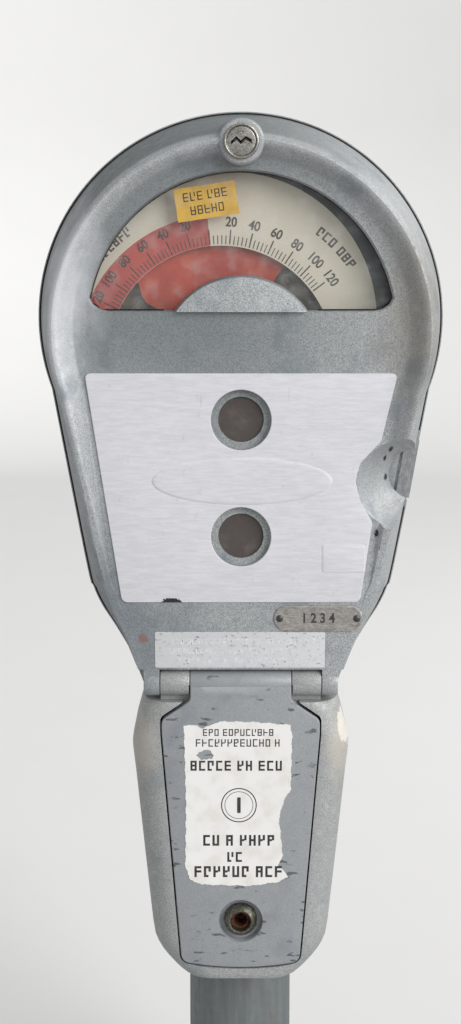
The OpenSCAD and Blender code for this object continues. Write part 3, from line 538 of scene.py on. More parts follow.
def clear_glass(name, tint, roughness, alpha, grime):
    """Thin scratched glass: mostly see-through, with a film of dirt."""
    f = Finish(name, roughness)
    f.shader.inputs["IOR"].default_value = 1.45
    film = f.band(f.noise(9, 5.0, shift=3.0), 0.45, 0.75, alpha, alpha + grime)
    marks = f.sums("MULTIPLY", f.scratches(0.9, 2.0, 0.7, 12), grime)
    f.plug(f.shader.inputs["Alpha"], f.sums("ADD", film, marks))
    f.bump((f.noise(6, 2.0), 0.04, 0.1))
    f.material.surface_render_method = "BLENDED"
    return f.done(f.mix(f.noise(4, 4.0), tint, [c * 0.8 for c in tint[:3]] + [1.0]))


def paper(name, light, dark):
    """Label stock: slightly dirty, with fine creases."""
    f = Finish(name, 0.6)
    colour = f.mix(f.band(f.noise(10, 5.0), 0.4, 0.72), light, dark)
    crease = f.band(f.noise(3.5, 6.0, (1, 1, 0.4), 5.0, 0.75), 0.64, 0.69)
    colour = f.stain(colour, crease, 0.35, dark)
    f.bump((crease, 0.12, 0.2), (f.noise(0.7, 3.0), 0.08, 0.1))
    return f.done(colour)


def faded_label():
    """The strip under the face plate: white print mostly rubbed off to bare grey specks."""
    f = Finish("faded_label", 0.5, 0.2)
    rubbed = f.band(f.noise(1.5, 5.0, (0.6, 1, 1), 2.0, 0.7), 0.56, 0.62)
    low = f.band(f.noise(9, 3.0), 0.4, 0.6, 0.25, 1.0)
    colour = f.mix(f.noise(6, 4.0), srgb(214, 216, 218), srgb(232, 233, 234))
    colour = f.stain(colour, rubbed, low, srgb(150, 152, 154))
    specks = f.sums("MULTIPLY", f.band(f.noise(1.2, 3.0, shift=8.0), 0.68, 0.71),
                    f.spot((34, FLOOR_Y, NECK_Z + 24), 16, 0.9))
    colour = f.mix(specks, colour, srgb(40, 40, 42))
    f.bump((rubbed, 0.15, 0.1), (f.noise(0.8, 3.0), 0.1, 0.1))
    return f.done(colour)


def rust():
    """Brown rust inside the vault lock."""
    f = Finish("rust", 0.8, 0.2)
    colour = f.mix(f.band(f.noise(1.4, 5.0), 0.35, 0.65), srgb(52, 26, 18), srgb(112, 66, 44))
    f.bump((f.noise(0.7, 5.0), 0.5, 0.3))
    return f.done(colour)


WHITE_PAINT = plate_paint()
POST = post_metal()
CREAM = dial_cream()
LABEL = faded_label()
FADED_PRINT = coating("faded_print", srgb(240, 240, 242), srgb(214, 216, 218), 0.5, 2)
STICKER = paper("door_sticker_white", srgb(252, 250, 247), srgb(240, 236, 229))
YELLOW = paper("sticker_yellow", srgb(232, 184, 40), srgb(208, 160, 44))
INK = coating("ink_dark", srgb(72, 70, 68), srgb(46, 44, 44), 0.6)
DIAL_INK = coating("dial_ink", srgb(84, 74, 66), srgb(58, 50, 44), 0.6, 1.5)
BAND_RED = coating("band_red", srgb(196, 84, 76), srgb(182, 74, 68), 0.5, 12, 0.03)
FLAG_RED = coating("flag_red", srgb(206, 82, 54), srgb(184, 66, 50), 0.45, 18, 0.03)
# painted shadow: the dark crescent beside the dial's right edge
PAINTED_DIAL_SHADOW = coating("case_dark", srgb(78, 84, 90), srgb(52, 56, 62), 0.6, 12)
BACKING = coating("dial_brown", srgb(112, 98, 84), srgb(88, 76, 66), 0.6, 12)
BLACK = coating("pointer_black", srgb(38, 36, 36), srgb(24, 22, 22), 0.5)
RUBBER = coating("seal_black", srgb(38, 38, 38), srgb(24, 24, 24), 0.8, 2, 0.3)
BOX_BLUE = coating("box_blue", srgb(92, 112, 130), srgb(70, 88, 104), 0.4, 9)
ZINC = metal("zinc_sheet", srgb(196, 198, 200), srgb(152, 154, 156), 0.4, (1, 1, 0.2))
DARK_STEEL = metal("dark_steel", srgb(112, 110, 108), srgb(74, 72, 70), 0.45)
NICKEL = metal("lock_nickel", srgb(206, 204, 198), srgb(140, 136, 128), 0.34, (1, 1, 1), 0.9)
STEEL_RING = metal("lock_ring", srgb(140, 140, 130), srgb(78, 74, 60), 0.36, (1, 1, 1), 1.2)
BRASS = metal("clock_brass", srgb(206, 172, 104), srgb(158, 124, 70), 0.34)
BLUED = metal("blued_steel", srgb(88, 100, 128), srgb(58, 66, 88), 0.35)
MILLED = metal("milled_grey", srgb(178, 180, 182), srgb(140, 142, 146), 0.42)
TAG = metal("tag_metal", srgb(206, 202, 198), srgb(158, 152, 146), 0.4, (0.3, 1, 1), 0.7, 0.75)
RUST = rust()
LENS = clear_glass("lens_clear", srgb(236, 240, 238), 0.08, 0.05, 0.10)
COIN_GLASS = clear_glass("coin_glass", srgb(108, 100, 96), 0.3, 0.7, 0.3)

# CAD nodes that stay as they are take the finish of their material slot
SLOT_FINISH = {
    "housing_paint": HOUSING_GREY, "cover_paint": COVER_GREY, "door_paint": DOOR_GREY,
    "post_steel": POST, "plate_white": WHITE_PAINT, "zinc_steel": ZINC, "dark_steel": DARK_STEEL,
    "lock_steel": NICKEL, "rusty_steel": RUST, "clock_brass": BRASS, "spring_steel": BLUED,
    "box_paint": BOX_BLUE, "seal_rubber": RUBBER, "lens_glass": LENS, "coin_glass": COIN_GLASS,
    "label_white": LABEL, "label_yellow": YELLOW, "tag_metal": TAG, "dial_cream": CREAM,
    "dial_dark": BACKING, "flag_red": FLAG_RED, "pointer_black": BLACK, "wheel_grey": MILLED}
for part in frame["record"]["subparts"]:
    cad = frame["nodes"][part["node"]]
    cad.data.materials.clear()
    cad.data.materials.append(SLOT_FINISH[part["material_slot"]])

# ---------------------------------------------------------------- outlines of the head


def closed(half):
    """A full outline from its right half, which runs from the top centre to the bottom centre."""
    return half + [(-x, z) for x, z in reversed(half[1:-1])]


def head_half(r, zc, side, bottom_steps=8):
    """Right half of a head outline: round top, smooth side through the points, flat bottom."""
    top = [(r * math.sin(math.radians(a)), zc + r * math.cos(math.radians(a)))
           for a in [110 * i / 54 for i in range(55)]]
    flank = spline([top[-1]] + side, 9)
    last = side[-1]
    bottom = [(last[0] * (1 - i / bottom_steps), last[1]) for i in range(1, bottom_steps + 1)]
    return top + flank[1:] + bottom


def rim(d, foot=None):
    """Outline at the seam moved in by d; the rear housing's goes on down to its foot."""
    side = [(88.4 - d, NECK_Z + 71), (84.5 - d, NECK_Z + 57 + 0.2 * d),
            (79.6 - d, NECK_Z + 46 + 0.3 * d), (70.5 - d, NECK_Z + 31.5 + 0.5 * d),
            (62.8 - d, COVER_Z + 0.5 * d - 0.8)]
    return closed(head_half(HEAD_R - d, HEAD_Z, side + ([foot] if foot else [])))


def ridge(d):
    side = [(75.8 - d, NECK_Z + 77), (71 - d, NECK_Z + 61), (66.5 - d, NECK_Z + 49.5),
            (61 - d, NECK_Z + 37), (55.5 - 0.5 * d, COVER_Z + 0.3 + 0.5 * d)]
    return closed(head_half(HEAD_R - 11 - d, HEAD_Z - 5.5, side))


def floor(d):
    side = [(73 - d, NECK_Z + 80), (68.6 - d, NECK_Z + 62), (64.8 - d, NECK_Z + 51),
            (58.6 - d, NECK_Z + 38), (53 - d, COVER_Z + 1.6 + 0.5 * d)]
    return closed(head_half(WINDOW_R + 7 - d, WINDOW_Z, side))


def between(a, b, share):
    return [(p[0] + (q[0] - p[0]) * share, p[1] + (q[1] - p[1]) * share) for p, q in zip(a, b)]


def faded(y):
    """Depth y, but never in front of the line along which the ridge sinks into the floor."""
    def depth(z):
        share = min(max((z - NECK_Z - 45) / 105, 0), 1)
        return max(y, FLOOR_Y + (RIDGE_Y - FLOOR_Y) * share * share * (3 - 2 * share))
    return depth


def window_outline(grow=0.0):
    """Half-moon of the dial window with a round bay for the half disc at its foot."""
    r, low = WINDOW_R + grow, SILL_Z - grow
    corner_x = math.sqrt(r * r - (low - WINDOW_Z) ** 2)
    start = math.degrees(math.asin((low + 11 - WINDOW_Z) / r))
    top = arc((0, WINDOW_Z), r, start, 180 - start, 60)
    bay_r = BOSS_R - grow
    bay = math.degrees(math.asin((low - BOSS_Z) / bay_r))
    foot = arc((0, BOSS_Z), bay_r, 180 - bay, bay, 30)
    right = [(corner_x - 11, low), (corner_x - 6.4, low + 0.9), (corner_x - 2.9, low + 3.2),
             (corner_x - 0.9, low + 6.8)]
    left = [(-x, z) for x, z in reversed(right)]
    return top + left + foot + right


def scoop_cutter(grow=0.0):
    """Slanting cone that leads a coin to the slot."""
    cone = turned("scoop", [(0, 28.6 + grow), (68, 13.6 + grow)], 0, 0, 0, 72)
    place = Matrix.Translation(Vector((84, RIDGE_Y - 12, COIN_Z - 3)) * MM)
    cone.data.transform(place @ Matrix.Rotation(math.radians(-14.6), 4, "Z"))
    return cone


# ---------------------------------------------------------------- front cover


def build_cover():
    seam = rim(1.6)
    crest, bowl = ridge(0), floor(0)
    outside = [across(between(seam, crest, share), faded(y)) for share, y in (
        (0.0, SEAM_Y), (0.02, SEAM_Y - 1), (0.2, SEAM_Y - 14), (0.5, SEAM_Y - 32),
        (0.78, SEAM_Y - 42), (0.9, SEAM_Y - 46), (0.97, SEAM_Y - 48.3), (1.0, SEAM_Y - 49.3))]
    rings = [across(ridge(4.6), INNER_Y), across(rim(6.1), SEAM_Y)] + outside
    rings += [across(between(crest, bowl, share), faded(RIDGE_Y + down)) for share, down in (
        (0.10, 0.0), (0.2, 0.1), (0.3, 0.6), (0.42, 1.8), (0.55, 3.5), (0.68, 5.2), (0.8, 6.6),
        (0.9, 7.5), (1.0, 8.0))]
    cover = loft("cover_casting", rings)
    disc = turned("disc", [(0, BOSS_R - 1.6), (0.3, BOSS_R - 0.7), (0.9, BOSS_R - 0.15), (1.8, BOSS_R),
                           (8, BOSS_R)], 0, BOSS_Z, FLOOR_Y - 3.2, 128)
    cut(disc, block("below", (-100, -100, 0), (100, 100, SILL_Z - 0.6)))
    boss = turned("boss", [(0, 10.8), (0.4, 11.4), (1.2, 11.8), (9, 12.4), (17, 13.4)], 0, LOCK_Z,
                  RIDGE_Y - 1)
    sleeve = turned("sleeve", [(0, 10.8), (34, 10.8)], 0, LOCK_Z, INNER_Y - 4)
    wall = scoop_cutter(3)
    depth = block("depth", (-200, FLOOR_Y + 0.7, 0), (200, SEAM_Y + 0.01, 900))
    combine(wall, [loft("limit", outside), depth], "INTERSECT")
    seats = coin_pair("seat", [(0, HOLE_R + 2.5), (4.5, HOLE_R + 2.5)], INNER_Y - 1)

    def ear(side):
        x0, x1 = span(side, EAR_X, EAR_END)
        knuckle = hinge_bar("ear", x0, x1, KNUCKLE_R)
        return add(knuckle, block("ear_root", (x0, HINGE_Y - 6.0, HINGE_Z),
                                  (x1, HINGE_Y + KNUCKLE_R, COVER_Z + 0.8)))
    add(cover, disc, boss, sleeve, wall, *seats, *mirrored(ear))
    flare = [(RIDGE_Y - 8, 1.3), (FLOOR_Y - 0.2, 1.1), (FLOOR_Y + 0.5, 0.4), (FLOOR_Y + 1.3, 0.0),
             (SEAM_Y + 5, 0.0)]
    window = loft("window", [across(inset(window_outline(), -grow), y) for y, grow in flare])
    holes = coin_pair("hole", [(0, HOLE_R + 1.4), (7.8, HOLE_R + 1.2), (8.4, HOLE_R + 0.4),
                               (9.2, HOLE_R), (11.4, HOLE_R - 0.2), (11.4, SIGHT_R), (30, SIGHT_R)],
                      RIDGE_Y)
    bore = turned("bore", [(0, 9.3), (80, 9.3)], 0, LOCK_Z, RIDGE_Y - 4)
    cut(cover, window, *holes, bore, hinge_bar("pin", -80, 80, 3.1), scoop_cutter())
    cut(cover, *coin_pair("back", [(0, HOLE_R - 1.3), (30, HOLE_R - 1.3)], INNER_Y + 0.5))
    return finish(cover, "cover", "cover_paint", COVER_GREY, "front_cover")


build_cover()


def build_seal():
    """Thin dark seal that shows as a line round the head between cover and rear housing."""
    seal = prism("seam_seal", rim(0.7, (56.2, NECK_Z + 14)), SEAM_Y + 0.2, REAR_Y)
    cut(seal, prism("inside", rim(4.4, (52, NECK_Z + 18)), SEAM_Y - 2, REAR_Y + 2),
        block("mouth", (70, SEAM_Y - 2, COIN_Z - 22), (120, REAR_Y + 2, COIN_Z + 22)))
    finish(seal, "housing", "seal_rubber", RUBBER, "cover_seal")


build_seal()

# ---------------------------------------------------------------- rear housing


def chute_cutter(top):
    """The hole that coins fall through, from inside the vault up to top."""
    return block("chute", (-17.5, -7, NECK_Z - 10), (17.5, 3.6, top))


def build_rear():
    depth, wide = BACK_Y - REAR_Y, 34

    def section(angle, wall):
        """Ring of the dome at an angle from the seam (0) to the flat back (90), inside a wall."""
        a = math.radians(angle)
        y = REAR_Y + (depth - wall) * math.sin(a) ** 0.62
        d = wide * (1 - math.cos(a) ** 0.9) + wall
        foot = (56 - 0.77 * d, NECK_Z + (wall and 5))
        return across(rim(d, foot), y)
    angles = (0, 1, 4, 9, 16, 24, 33, 42, 51, 60, 68, 75, 81, 86, 90)
    rings = [section(angle, 4.5) for angle in reversed(angles)]
    rings += [section(angle, 0) for angle in angles]
    rear = loft("rear_casting", rings)
    low = corner("rear_housing", 0, 1)
    chin = block("chin", (-53, low, NECK_Z), (53, REAR_Y + 1, COVER_Z - 2.3))
    strike = block("strike", (-9, REAR_Y + 1, LOCK_Z + 8.2), (9, REAR_Y + 3.5, TOP_Z - 3))
    pads = [turned("pad", [(0, 6.6), (0.5, 7), (14, 7)], x, z, BACK_Y - 16.5, 32)
            for x in (-46, 46) for z in (NECK_Z + 100, NECK_Z + 218)]
    inlet = block("inlet", (81, REAR_Y, COIN_Z - 22), (110, REAR_Y + 18, COIN_Z + 22))
    limit = loft("limit", [across(rim(0.6), REAR_Y), across(rim(1.2), REAR_Y + 20)])
    combine(inlet, [limit], "INTERSECT")
    add(rear, chin, strike, inlet, *pads)
    face = block("face", (-30, -60, -17), (60, 2, 17))
    place = Matrix.Translation(Vector((90, SEAM_Y, COIN_Z)) * MM)
    lean = Matrix.Rotation(math.radians(9.5), 4, "Y")
    face.data.transform(place @ lean @ Matrix.Rotation(math.radians(45), 4, "Z"))
    slot = block("slot", (30, -11.6, COIN_Z - 14.5), (140, -8.4, COIN_Z + 14.5))
    cut(rear, face, slot, chute_cutter(NECK_Z + 12))
    return finish(rear, "housing", "housing_paint", REAR_GREY, "rear_housing")


build_rear()

# ---------------------------------------------------------------- vault housing and door


def vault_plan(half, inward=0.0):
    """Plan outline of the vault: flat front moved inward, with round corners, and a rounder back."""
    r, k = 16, half - 8
    front = r + VAULT_Y + inward
    return (arc((half - r, front), r, -90, 0, 10) + arc((8, 4), k, 0, 90, 16)
            + arc((-8, 4), k, 90, 180, 16) + arc((r - half, front), r, 180, 270, 10))


def door_outline(grow=0.0):
    """Door with its barrel neck, sloped shoulders, tapered sides and sagging lower edge."""
    top, shoulder, toe = HINGE_Z, 44 + grow, 33.4 + grow
    low = VAULT_Z + 10 - grow
    sag = [(x, low - 3.2 * (1 - (x / toe) ** 2)) for x in (-20, -10, 0, 10, 20)]
    points = [(-BARREL - grow, top), (-BARREL - grow, NECK_Z + 1 + 2 * grow),
              (-shoulder, NECK_Z - 10 + 2 * grow), (-shoulder, NECK_Z - 18), (-toe, low)]
    radii = [0, 4, 5, 12, 6]
    outline = points + sag + [(-x, z) for x, z in reversed(points)]
    return rounded(outline, radii + [0] * 5 + radii[::-1], 6)


def build_vault():
    halves = ((0, 31.6), (1, 33), (3, 35.4), (6, 38.4), (10, 42), (14, 45), (18, 47.3), (22, 48.9),
              (30, 50.2), (70, 54.3), (120, 59.3), (128, 60.2), (133, 60.8), (137, 60.9),
              (142, 60.2), (150, 58), (157, 56), (160.5, 55), (162, 53.6))
    rings = []
    for rise, half in halves:
        inward = 0.6 if rise in (halves[0][0], halves[-1][0]) else 0
        rings.append([(x, y, VAULT_Z + rise) for x, y in vault_plan(half, inward)])
    vault = loft("vault_casting", rings)

    def lug(side):
        x0, x1 = span(side, LUG_X, LUG_X + 16.2)
        knuckle = hinge_bar("lug", x0, x1, KNUCKLE_R, 0.4)
        return add(knuckle, block("lug_root", (x0, HINGE_Y, NECK_Z - 2), (x1, HINGE_Y + 7.5, HINGE_Z)))
    add(vault, *mirrored(lug))
    chamber_rings = []
    for rise, half in ((44, 48), (134, 56.3), (157.5, 51)):
        plan = [(x, max(y, VAULT_Y + 6)) for x, y in vault_plan(half, 4.5)]
        chamber_rings.append([(x, y, VAULT_Z + rise) for x, y in plan])
    chamber = loft("chamber", chamber_rings)
    opening = prism("opening", door_outline(0.8), VAULT_Y - 1, VAULT_Y + 7.6)
    step = block("step", (-27, VAULT_Y + 5, VAULT_Z + 21), (27, VAULT_Y + 20, VAULT_Z + 45))
    back_step = block("step", (-27, VAULT_Y + 14, VAULT_Z + 16), (27, VAULT_Y + 20, VAULT_Z + 22))
    channel = hinge_bar("channel", -LUG_X, LUG_X, KNUCKLE_R + 0.8, 0.01)
    ear_room = mirrored(lambda side: hinge_bar("room", *span(side, 44.6, 64), 9.4, 0.01))
    socket = loft("socket", [[(x, y, z) for x, y in arc((0, 0), 30.3, 0, 355, 71)]
                             for z in (VAULT_Z - 1, VAULT_Z + 59)])
    cut(vault, chamber, chute_cutter(NECK_Z + 1), opening, step, back_step, channel, *ear_room, socket,
        hinge_bar("pin", -80, 80, 3.02))
    return finish(vault, "housing", "housing_paint", HOUSING_GREY, "lower_housing")


build_vault()


def build_door():
    door = prism("door_casting", door_outline(), VAULT_Y, VAULT_Y + 7, 0.7)
    barrel = hinge_bar("barrel", -BARREL, BARREL, KNUCKLE_R)
    collar = turned("collar", [(0, 13), (3, 13)], 0, VAULT_LOCK_Z, VAULT_Y + 6)
    trim = block("trim", (-80, VAULT_Y - 1, HINGE_Z - 1), (80, VAULT_Y + 7.5, HINGE_Z + 9))
    cut(door, trim)
    add(door, barrel, collar)
    recess = turned("recess", [(0, 12.9), (1.2, 12.4), (1.9, 12.0), (5.5, 11.8)], 0, VAULT_LOCK_Z,
                    VAULT_Y - 0.8)
    bore = turned("bore", [(0, 9.25), (30, 9.25)], 0, VAULT_LOCK_Z, VAULT_Y - 1)
    cut(door, recess, bore, hinge_bar("pin", -80, 80, 3.1))
    return finish(door, "door", "door_paint", DOOR_GREY, "vault_door")


build_door()

# ---------------------------------------------------------------- face plate, label and tag


def plate_outline():
    """Plate with a bay on its right for the coin scoop."""
    top, low = NECK_Z + 182.2, NECK_Z + 56.6
    points = [(-84.3, top), (-65.3, low), (65.3, low), (71.6, NECK_Z + 101), (64.6, NECK_Z + 113),
              (62.0, NECK_Z + 124), (64.5, NECK_Z + 133.5), (75.8, NECK_Z + 145.5), (84.3, top)]
    return rounded(points, [3, 4, 4, 5, 9, 9, 9, 5, 3], 6)


def ellipse(centre, a, b, steps=72):
    return [(centre[0] + a * math.cos(2 * math.pi * i / steps),
             centre[1] + b * math.sin(2 * math.pi * i / steps)) for i in range(steps)]


def build_plate():
    y = FLOOR_Y - 0.8
    plate = prism("plate_white", plate_outline(), y, FLOOR_Y, 0.35)
    middle = (0.6, COIN_Z - 1.2)
    relief = loft("oval", [across(ellipse(middle, 49.4 - k, 13.4 - k), y + depth)
                           for k, depth in ((0, 0.3), (0.5, -0.12), (1.2, -0.42), (2.4, -0.5))])
    mark = [(44, NECK_Z + 73), (68, NECK_Z + 73), (68, NECK_Z + 89), (44, NECK_Z + 89)]
    badge = loft("badge", [across(inset(rounded(mark, [2] * 4), k), y + depth)
                           for k, depth in ((0, 0.2), (0.3, -0.1), (0.8, -0.28))])
    add(plate, relief, badge)
    cut(plate, *coin_pair("hole", [(-1, HOLE_R + 1.0), (0.9, HOLE_R + 0.5), (1.3, HOLE_R + 0.1),
                                   (3, HOLE_R)], y - 1))
    return finish(plate, "cover", "plate_white", WHITE_PAINT, "face_plate")


build_plate()


def ragged(outline, size, seed):
    """An outline resampled and pushed in and out a little, like a torn edge."""
    fine = []
    for a, b in zip(outline, outline[1:] + outline[:1]):
        steps = max(int((Vector(b) - Vector(a)).length / 0.7), 1)
        fine += [(a[0] + (b[0] - a[0]) * k / steps, a[1] + (b[1] - a[1]) * k / steps)
                 for k in range(steps)]
    out = []
    for x, z in fine:
        aside = math.sin(0.8 * z + seed) + 0.5 * math.sin(2.3 * z + x + 2 * seed)
        along = math.sin(0.7 * x + seed) + 0.5 * math.sin(2.1 * x + z + 3 * seed)
        fray = 0.4 * math.sin(5.1 * x + 4.3 * z)
        out.append((x + 0.5 * size * (aside + fray), z + 0.5 * size * (along + fray)))
    return out


def chance(*seeds):
    """A repeatable number from 0 to 1 picked by the seeds."""
    value = 43758.5453 * math.sin(sum(a * b for a, b in zip(seeds, (12.9898, 78.233, 37.719))))
    return value - math.floor(value)


def straight(centre=(0, 0), tilt=0.0):
    """Where a row of print runs: along a line through centre, tilted by degrees."""
    turn = Matrix.Rotation(math.radians(tilt), 2)
    return lambda x, z: tuple(turn @ Vector((x, z)) + Vector(centre))


def round_dial(r):
    """Where a row of print runs: along an arc about the dial's centre; x is in degrees."""
    def place(degrees, z):
        a = math.radians(degrees)
        return DIAL_X + (r + z) * math.sin(a), SCALE_Z + (r + z) * math.cos(a)
    return place


def strokes(name, rows, y, place, body, slot, material, step=1.0):
    """Rows of made-up letters: each is a few upright and level strokes picked by chance.
    A row is (start, end, foot, height, stroke); step is one millimetre in the row's own units."""
    points, faces = [], []

    def bar(x0, x1, z0, z1):
        outline = [place(x0, z0), place(x1, z0), place(x1, z1), place(x0, z1)]
        add_plate(points, faces, outline, y, y + PRINT)
    for row, (x0, x1, foot, height, pen) in enumerate(rows):
        x, wide, thick, letter = x0, 0.6 * height * step, pen * height * step, 0
        while x < x1 - wide:
            letter += 1
            right, cap, middle, base = [chance(row + 4, letter, k + x1) for k in range(4)]
            top = foot + height
            bar(x, x + thick, foot, top)
            inner = x + wide - thick * (right > 0.4)
            if right > 0.4:
                bar(inner, x + wide, foot if base > 0.4 else foot + height / 2, top)
            if cap > 0.45:
                bar(x + thick, inner, top - pen * height, top)
            if middle > 0.4:
                bar(x + thick, inner, foot + 0.42 * height, foot + (0.42 + pen) * height)
            if middle < 0.7:
                bar(x + thick, inner, foot, foot + pen * height)
            gap = 0.62 if chance(letter, row, 5) > 0.85 else 0.22
            x += wide + gap * height * step
    return finish(make(name, points, faces), body, slot, material)


def build_door_sticker():
    """Torn white sticker with worn rows of print round a plain coin picture."""
    torn = [(-31.6, -13.2), (-24.6, -12.7), (-21.3, -15.1), (-15.4, -11.9), (-9.9, -10.6),
            (7.9, -11.1), (27.5, -12.7), (28.5, -18.3), (27.9, -50), (24.1, -56.6), (21.4, -66.5),
            (23.6, -88.3), (21.1, -94.6), (26.9, -101.2), (20.8, -104.1), (5.4, -106.4),
            (-21.6, -105.6), (-28.3, -102.8), (-31.1, -95.5), (-30.6, -57.9)]
    y = VAULT_Y - 0.28
    outline = ragged([(x, NECK_Z + z) for x, z in torn], 0.45, 3)
    sheet = prism("door_sticker", outline, y, VAULT_Y + 0.02)
    cut(sheet, prism("tear", ragged(ellipse((-19.6, NECK_Z - 30), 4.6, 2.8), 0.8, 2), y - 1, y + 9))
    finish(sheet, "door", "label_white", STICKER, "vault_sticker")
    rows = [(-21, 20, -18.9, 3.9, 0.15), (-25, 24, -25.1, 4.3, 0.15), (-28, 26, -39, 5.8, 0.19),
            (-21, 19, -82.7, 6.3, 0.2), (-7.5, 5, -92.2, 5.8, 0.2), (-26, 25, -101.2, 6.5, 0.2)]
    strokes("sticker_print", rows, y - 0.04, straight((0, NECK_Z)), "door", "label_white", INK)
    middle = NECK_Z - 59
    for name, r, inner in (("sticker_coin", 10, 9.4), ("sticker_coin_edge", 8, 7.7)):
        ring = [(0, r), (PRINT, r), (PRINT, inner), (0, inner), (0, r)]
        finish(turned(name, ring, -1, middle, y - PRINT, 48), "door", "label_white", INK)
    slot = prism("sticker_slot", rounded([(-2, middle - 4.6), (0, middle - 4.6), (0, middle + 4.6),
                                          (-2, middle + 4.6)], [0.6] * 4, 3), y - PRINT, y)
    finish(slot, "door", "label_white", INK)


build_door_sticker()


def build_label():
    y = FLOOR_Y - 0.3
    x, z = 46.4, NECK_Z + 19.6
    outline = rounded([(-47.4, z), (x, z), (x, z + 20.2), (-47.4, z + 20.2)], [1] * 4, 3)
    finish(prism("instruction_strip", outline, y, FLOOR_Y, 0.1), "cover", "label_white", LABEL,
           "instruction_label")
    rows = [(-38, 44, z + 13.4, 3, 0.2), (-42, 30, z + 8, 3, 0.2), (-34, 36, z + 2.6, 3, 0.2)]
    strokes("label_print", rows, y - 0.04, straight(), "cover", "label_white", FADED_PRINT)


build_label()


def words(name, text, size, x, y, z, turn, body, slot, material, depth=0.06):
    """Digits as thin raised print facing the front, turned clockwise by degrees."""
    curve = bpy.data.curves.new(name, "FONT")
    curve.body = text
    curve.size = size * MM
    curve.extrude = depth * MM / 2
    curve.align_x = curve.align_y = "CENTER"
    curve.offset = 0.16 * MM
    holder = placed(name, curve)
    bpy.context.view_layer.update()
    mesh = bpy.data.meshes.new_from_object(holder)
    bpy.data.objects.remove(holder)
    narrow = Matrix.Scale(0.86, 4, (1, 0, 0))
    stand = Matrix.Rotation(math.radians(90), 4, "X")
    mesh.transform(Matrix.Translation(Vector((x, y, z)) * MM)
                   @ Matrix.Rotation(math.radians(turn), 4, "Y") @ stand @ narrow)
    return finish(placed(name, mesh), body, slot, material)


def build_tag():
    x, z, y = 42.5, NECK_Z + 47.5, FLOOR_Y - 0.8
    outline = (arc((x + 17, z), 7.3, -90, 90, 16) + arc((x - 17, z), 7.3, 90, 270, 16))
    tag = prism("number_tag_plate", outline, y, FLOOR_Y, 0.25)
    lip = loft("lip", [across(inset(outline, k), y + depth)
                       for k, depth in ((1.0, -0.5), (1.3, 0.22), (7.0, 0.22))])
    cut(tag, lip)
    finish(tag, "cover", "tag_metal", TAG, "number_tag")
    words("tag_digits", "1 2 3 4", 7.6, x, y + 0.2, z, 0, "cover", "tag_metal", DARK_STEEL, 0.2)
    for side in (-1, 1):
        rivet = turned("tag_rivet_" + "lr"[side > 0], [(0, 0.6), (0.12, 1.2), (0.35, 1.7), (0.6, 1.95),
                       (0.8, 1.95), (0.8, 1.15), (2.6, 1.15)], x + side * 21.2, z, y - 0.55, 32)
        finish(rivet, "cover", "dark_steel", DARK_STEEL, *(["tag_rivets"] if side > 0 else []))


build_tag()

# ---------------------------------------------------------------- locks


def build_head_lock():
    y = RIDGE_Y - 3.5
    ring = turned("head_lock_shell", [(0.5, 7.86), (0.1, 8.15), (0, 8.5), (0.15, 8.95), (0.6, 9.2),
                                      (53.5, 9.2), (53.5, 7.86), (0.5, 7.86)], 0, LOCK_Z, y)
    finish(ring, "cover", "lock_steel", NICKEL, "head_lock_body")
    plug = turned("head_lock_face", [(0.5, 6.9), (0.62, 7.3), (0.95, 7.75), (50, 7.75), (50, 3),
                                     (62.4, 3)], 0, LOCK_Z, y + 0.2)
    wave = [(-5.6, -1.2), (-4.4, -0.2), (-2.6, 1.5), (-0.4, -0.8), (2.2, 1.5), (5.4, -0.2)]
    top = [(x, LOCK_Z + z + 0.9) for x, z in wave]
    keyway = prism("keyway", top + [(x, z - 1.9) for x, z in reversed(top)], y - 2, y + 14)
    dimple = turned("dimple", [(0, 0.9), (1.0, 0.6), (1.3, 0.1)], 0.4, LOCK_Z + 4.4, y + 0.3, 24)
    cut(plug, keyway, dimple)
    finish(plug, "head_lock", "lock_steel", NICKEL, "head_lock_plug")


def build_vault_lock():
    y = VAULT_Y - 1.5
    ring = turned("vault_lock_ring", [(3.4, 5.3), (0.9, 5.5), (0.2, 5.9), (0, 6.5), (0.3, 7.1),
                                      (2.4, 8.6), (3.2, 9.2), (16, 9.2), (16, 5.3), (3.4, 5.3)], 0,
                  VAULT_LOCK_Z, y)
    finish(ring, "door", "lock_steel", STEEL_RING, "vault_lock_body")


build_head_lock()
build_vault_lock()

# ---------------------------------------------------------------- dial


def minute_angle(minutes):
    """Place of a number of minutes on the dial; overtime is negative and runs to the left."""
    return -5.3 + minutes * 0.488


